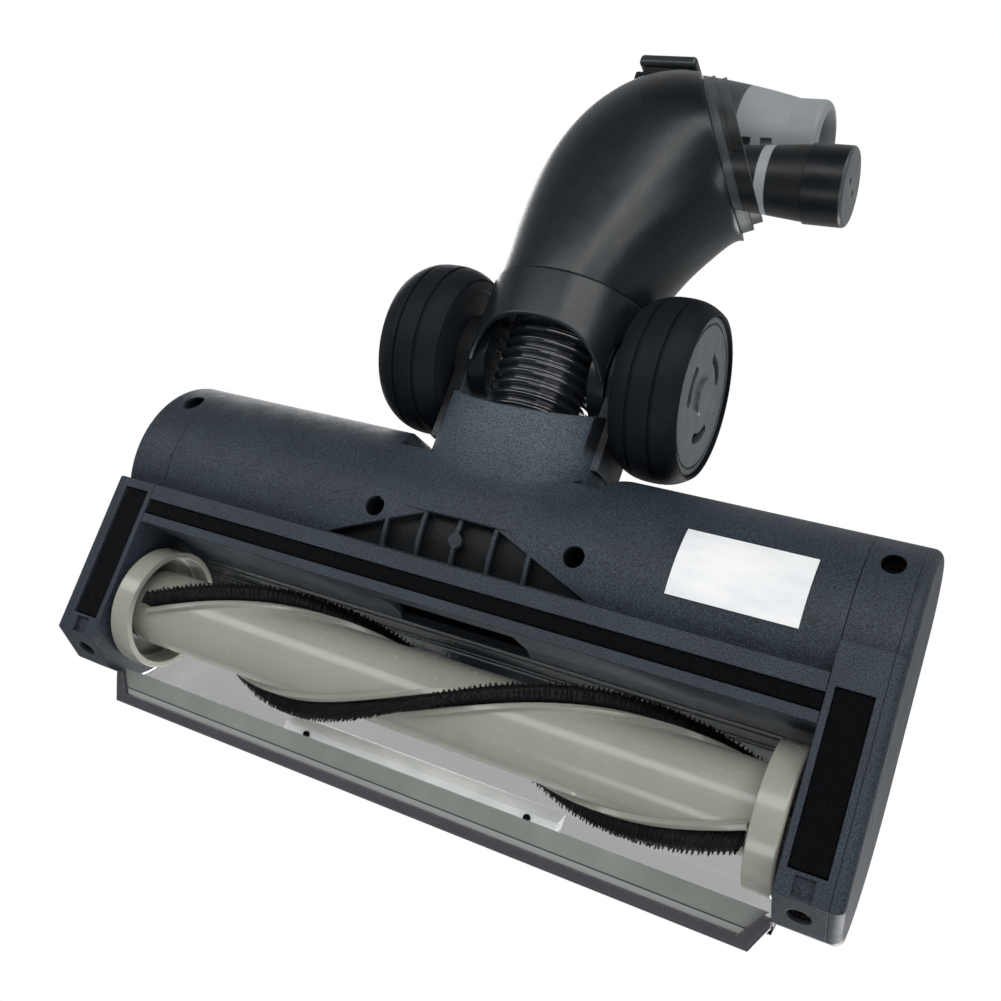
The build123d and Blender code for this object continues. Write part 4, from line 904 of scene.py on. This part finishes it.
def felt_strip(name, node):
    """A felt strip with rounded edges and an uneven nap, in its CAD solid's place."""
    low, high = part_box(node)
    size = high - low
    form = bmesh.new()
    bmesh.ops.create_cube(form, size=1.0)
    bmesh.ops.transform(form, matrix=Matrix.Translation((low + high) / 2) @ Matrix.Diagonal((*size, 1.0)),
                        verts=form.verts)
    bmesh.ops.bevel(form, geom=form.edges[:], offset=FELT_EDGE, segments=2, affect="EDGES", profile=0.5)
    for axis in range(3):
        normal = Vector((0.0, 0.0, 0.0))
        normal[axis] = 1.0
        cells = int(size[axis] / (FELT_CELL if axis != 2 else 3 * FELT_CELL))
        for index in range(1, cells):
            place = low.copy()
            place[axis] += size[axis] * index / cells
            bmesh.ops.bisect_plane(form, geom=form.verts[:] + form.edges[:] + form.faces[:], plane_co=place,
                                   plane_no=normal)
    form.normal_update()
    for vertex in form.verts:
        rise = noise.noise(vertex.co * FELT_FINE) + 0.6 * noise.noise(vertex.co * FELT_BROAD)
        vertex.co -= vertex.normal * FELT_NAP * (0.9 - rise)
    mesh = bpy.data.meshes.new(name)
    form.to_mesh(mesh)
    form.free()
    mesh.shade_smooth()
    return new_object(name, mesh)


def return_spring():
    """A copy of the button's coil as a piece of its own."""
    mesh = nodes["button_spring"].data.copy()
    mesh.materials.clear()
    return new_object("button_spring_coil", mesh)


def settle(piece, node, body, material):
    """Finish, body and replaced node of a made piece."""
    piece.data.materials.append(material)
    if node:
        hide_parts(node)
    if body:
        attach(piece, body)


def add_pieces():
    """The pieces that are made here, in place of plain solids or beside them."""
    settle(bristle_rows(), "bristle_strips", "brush", bristle_nylon())
    felt = felt_cloth()
    for node in ("left_felt_pad", "right_felt_pad", "rear_felt_strip"):
        settle(felt_strip(node + "_nap", node), node, "head", felt)
    hose = ribbed_hose()
    rubber = moulded("hose", HOSE_BLACK, 0.12, 0.0, tone=0.05, wear=1.0, round_edge=0.0,
                     specular=0.8, coat=1.0, patchy=0.2)
    settle(hose, "hose", None, rubber)
    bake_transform(hose)
    tread = moulded("tyre", TYRE_BLACK, 0.55, 0.25, 1900.0, 0.2, 2.2, specular=0.16)
    for side in ("left", "right"):
        node = side + "_tyre"
        settle(crowned_tyre(node + "_tread", node), node, side + "_wheel", tread)
    settle(yoke_cowl(), None, "yoke", bpy.data.materials["arm"])
    settle(neck_fillet(), None, "head", housing_plastic())
    # The liner gets painted highlights on its beads and its front edge
    gloss = moulded("chamber_liner", LINER_GREY, 0.16, 0.05, coat=0.6, zones=liner_painted_highlights)
    settle(chamber_liner(), None, "head", gloss)
    coil = return_spring()
    settle(coil, "button_spring", "elbow", bpy.data.materials["steel"])
    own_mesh(coil)


def stage_floor():
    """Pale floor that shows from above only and lets the light from below through."""
    signs = ((-1, -1), (1, -1), (1, 1), (-1, 1))
    corners = [(x * FLOOR_HALF, y * FLOOR_HALF, FLOOR_Z) for x, y in signs]
    floor = mesh_object("floor", corners, [(0, 1, 2, 3)], False)
    floor.visible_shadow = False
    floor.visible_diffuse = False
    floor.visible_glossy = False
    look = Look("floor")
    shader = look.add("ShaderNodeBsdfPrincipled", Roughness=0.6)
    tone = look.spread(look.noise(3.0), 0.0, 1.0)
    look.join(look.mix(tone, (0.8, 0.8, 0.8), (0.84, 0.84, 0.84)), shader.inputs["Base Color"])
    clear = look.add("ShaderNodeBsdfTransparent")
    side = look.add("ShaderNodeNewGeometry")
    choice = look.add("ShaderNodeMixShader")
    look.join(side.outputs["Backfacing"], choice.inputs[0])
    look.join(shader.outputs[0], choice.inputs[1])
    look.join(clear.outputs[0], choice.inputs[2])
    look.join(choice.outputs[0], look.out.inputs["Surface"])
    floor.data.materials.append(look.material)


def lamp(name, place, width, power, length):
    """A soft lamp that points at the part, with its long side along X."""
    data = bpy.data.lights.new(name, "AREA")
    data.shape = "RECTANGLE"
    data.size = length
    data.size_y = width
    data.energy = power
    made = bpy.data.objects.new(name, data)
    back = (Vector(place) - Vector(LAMP_TARGET)).normalized()
    up = back.cross(Vector((1.0, 0.0, 0.0))).normalized()
    axes = Matrix((up.cross(back), up, back)).transposed()
    made.matrix_world = Matrix.Translation(place) @ axes.to_4x4()
    made.visible_camera = False
    bpy.context.scene.collection.objects.link(made)


def world_light():
    """A world that is white to the eye, and greyer below for what mirrors in the part."""
    world = bpy.data.worlds.new("studio")
    world.use_nodes = True
    tree = world.node_tree
    tree.nodes.clear()
    out = tree.nodes.new("ShaderNodeOutputWorld")
    path = tree.nodes.new("ShaderNodeLightPath")
    direction = tree.nodes.new("ShaderNodeSeparateXYZ")
    tree.links.new(tree.nodes.new("ShaderNodeTexCoord").outputs["Generated"], direction.inputs[0])
    rise = tree.nodes.new("ShaderNodeMapRange")
    rise.inputs["From Min"].default_value = MIRROR_FADE[0]
    rise.inputs["From Max"].default_value = MIRROR_FADE[1]
    rise.inputs["To Min"].default_value = MIRROR_BELOW
    rise.inputs["To Max"].default_value = MIRROR_ABOVE
    tree.links.new(direction.outputs["Z"], rise.inputs["Value"])
    soft, mirrored, white = (tree.nodes.new("ShaderNodeBackground") for _ in range(3))
    soft.inputs["Color"].default_value = (0.93, 0.97, 1.0, 1.0)
    soft.inputs["Strength"].default_value = WORLD_SOFT
    tree.links.new(rise.outputs["Result"], mirrored.inputs["Strength"])
    mirrored.inputs["Color"].default_value = (1.0, 1.0, 1.0, 1.0)
    white.inputs["Color"].default_value = (1.0, 1.0, 1.0, 1.0)
    light = tree.nodes.new("ShaderNodeMixShader")
    tree.links.new(path.outputs["Is Diffuse Ray"], light.inputs[0])
    tree.links.new(white.outputs[0], light.inputs[1])
    tree.links.new(soft.outputs[0], light.inputs[2])
    seen = tree.nodes.new("ShaderNodeMixShader")
    tree.links.new(path.outputs["Is Glossy Ray"], seen.inputs[0])
    tree.links.new(light.outputs[0], seen.inputs[1])
    tree.links.new(mirrored.outputs[0], seen.inputs[2])
    tree.links.new(seen.outputs[0], out.inputs["Surface"])
    bpy.context.scene.world = world


def studio():
    """Soft lamps above and below."""
    for name, place, width, power, length in LAMPS:
        lamp(name, place, width, power, length)
    world_light()
    bpy.context.scene.view_settings.view_transform = "Standard"


def camera():
    """The photograph's camera."""
    data = bpy.data.cameras.new("camera")
    data.lens = CAMERA_LENS
    data.sensor_width = CAMERA_SENSOR
    data.clip_start = 0.01
    made = bpy.data.objects.new("camera", data)
    axes = Matrix((CAMERA_RIGHT, CAMERA_UP, CAMERA_BACK)).transposed()
    made.matrix_world = Matrix.Translation(CAMERA_PLACE) @ axes.to_4x4()
    bpy.context.scene.collection.objects.link(made)
    bpy.context.scene.camera = made


dress_frame()
add_pieces()
stage_floor()
studio()
camera()
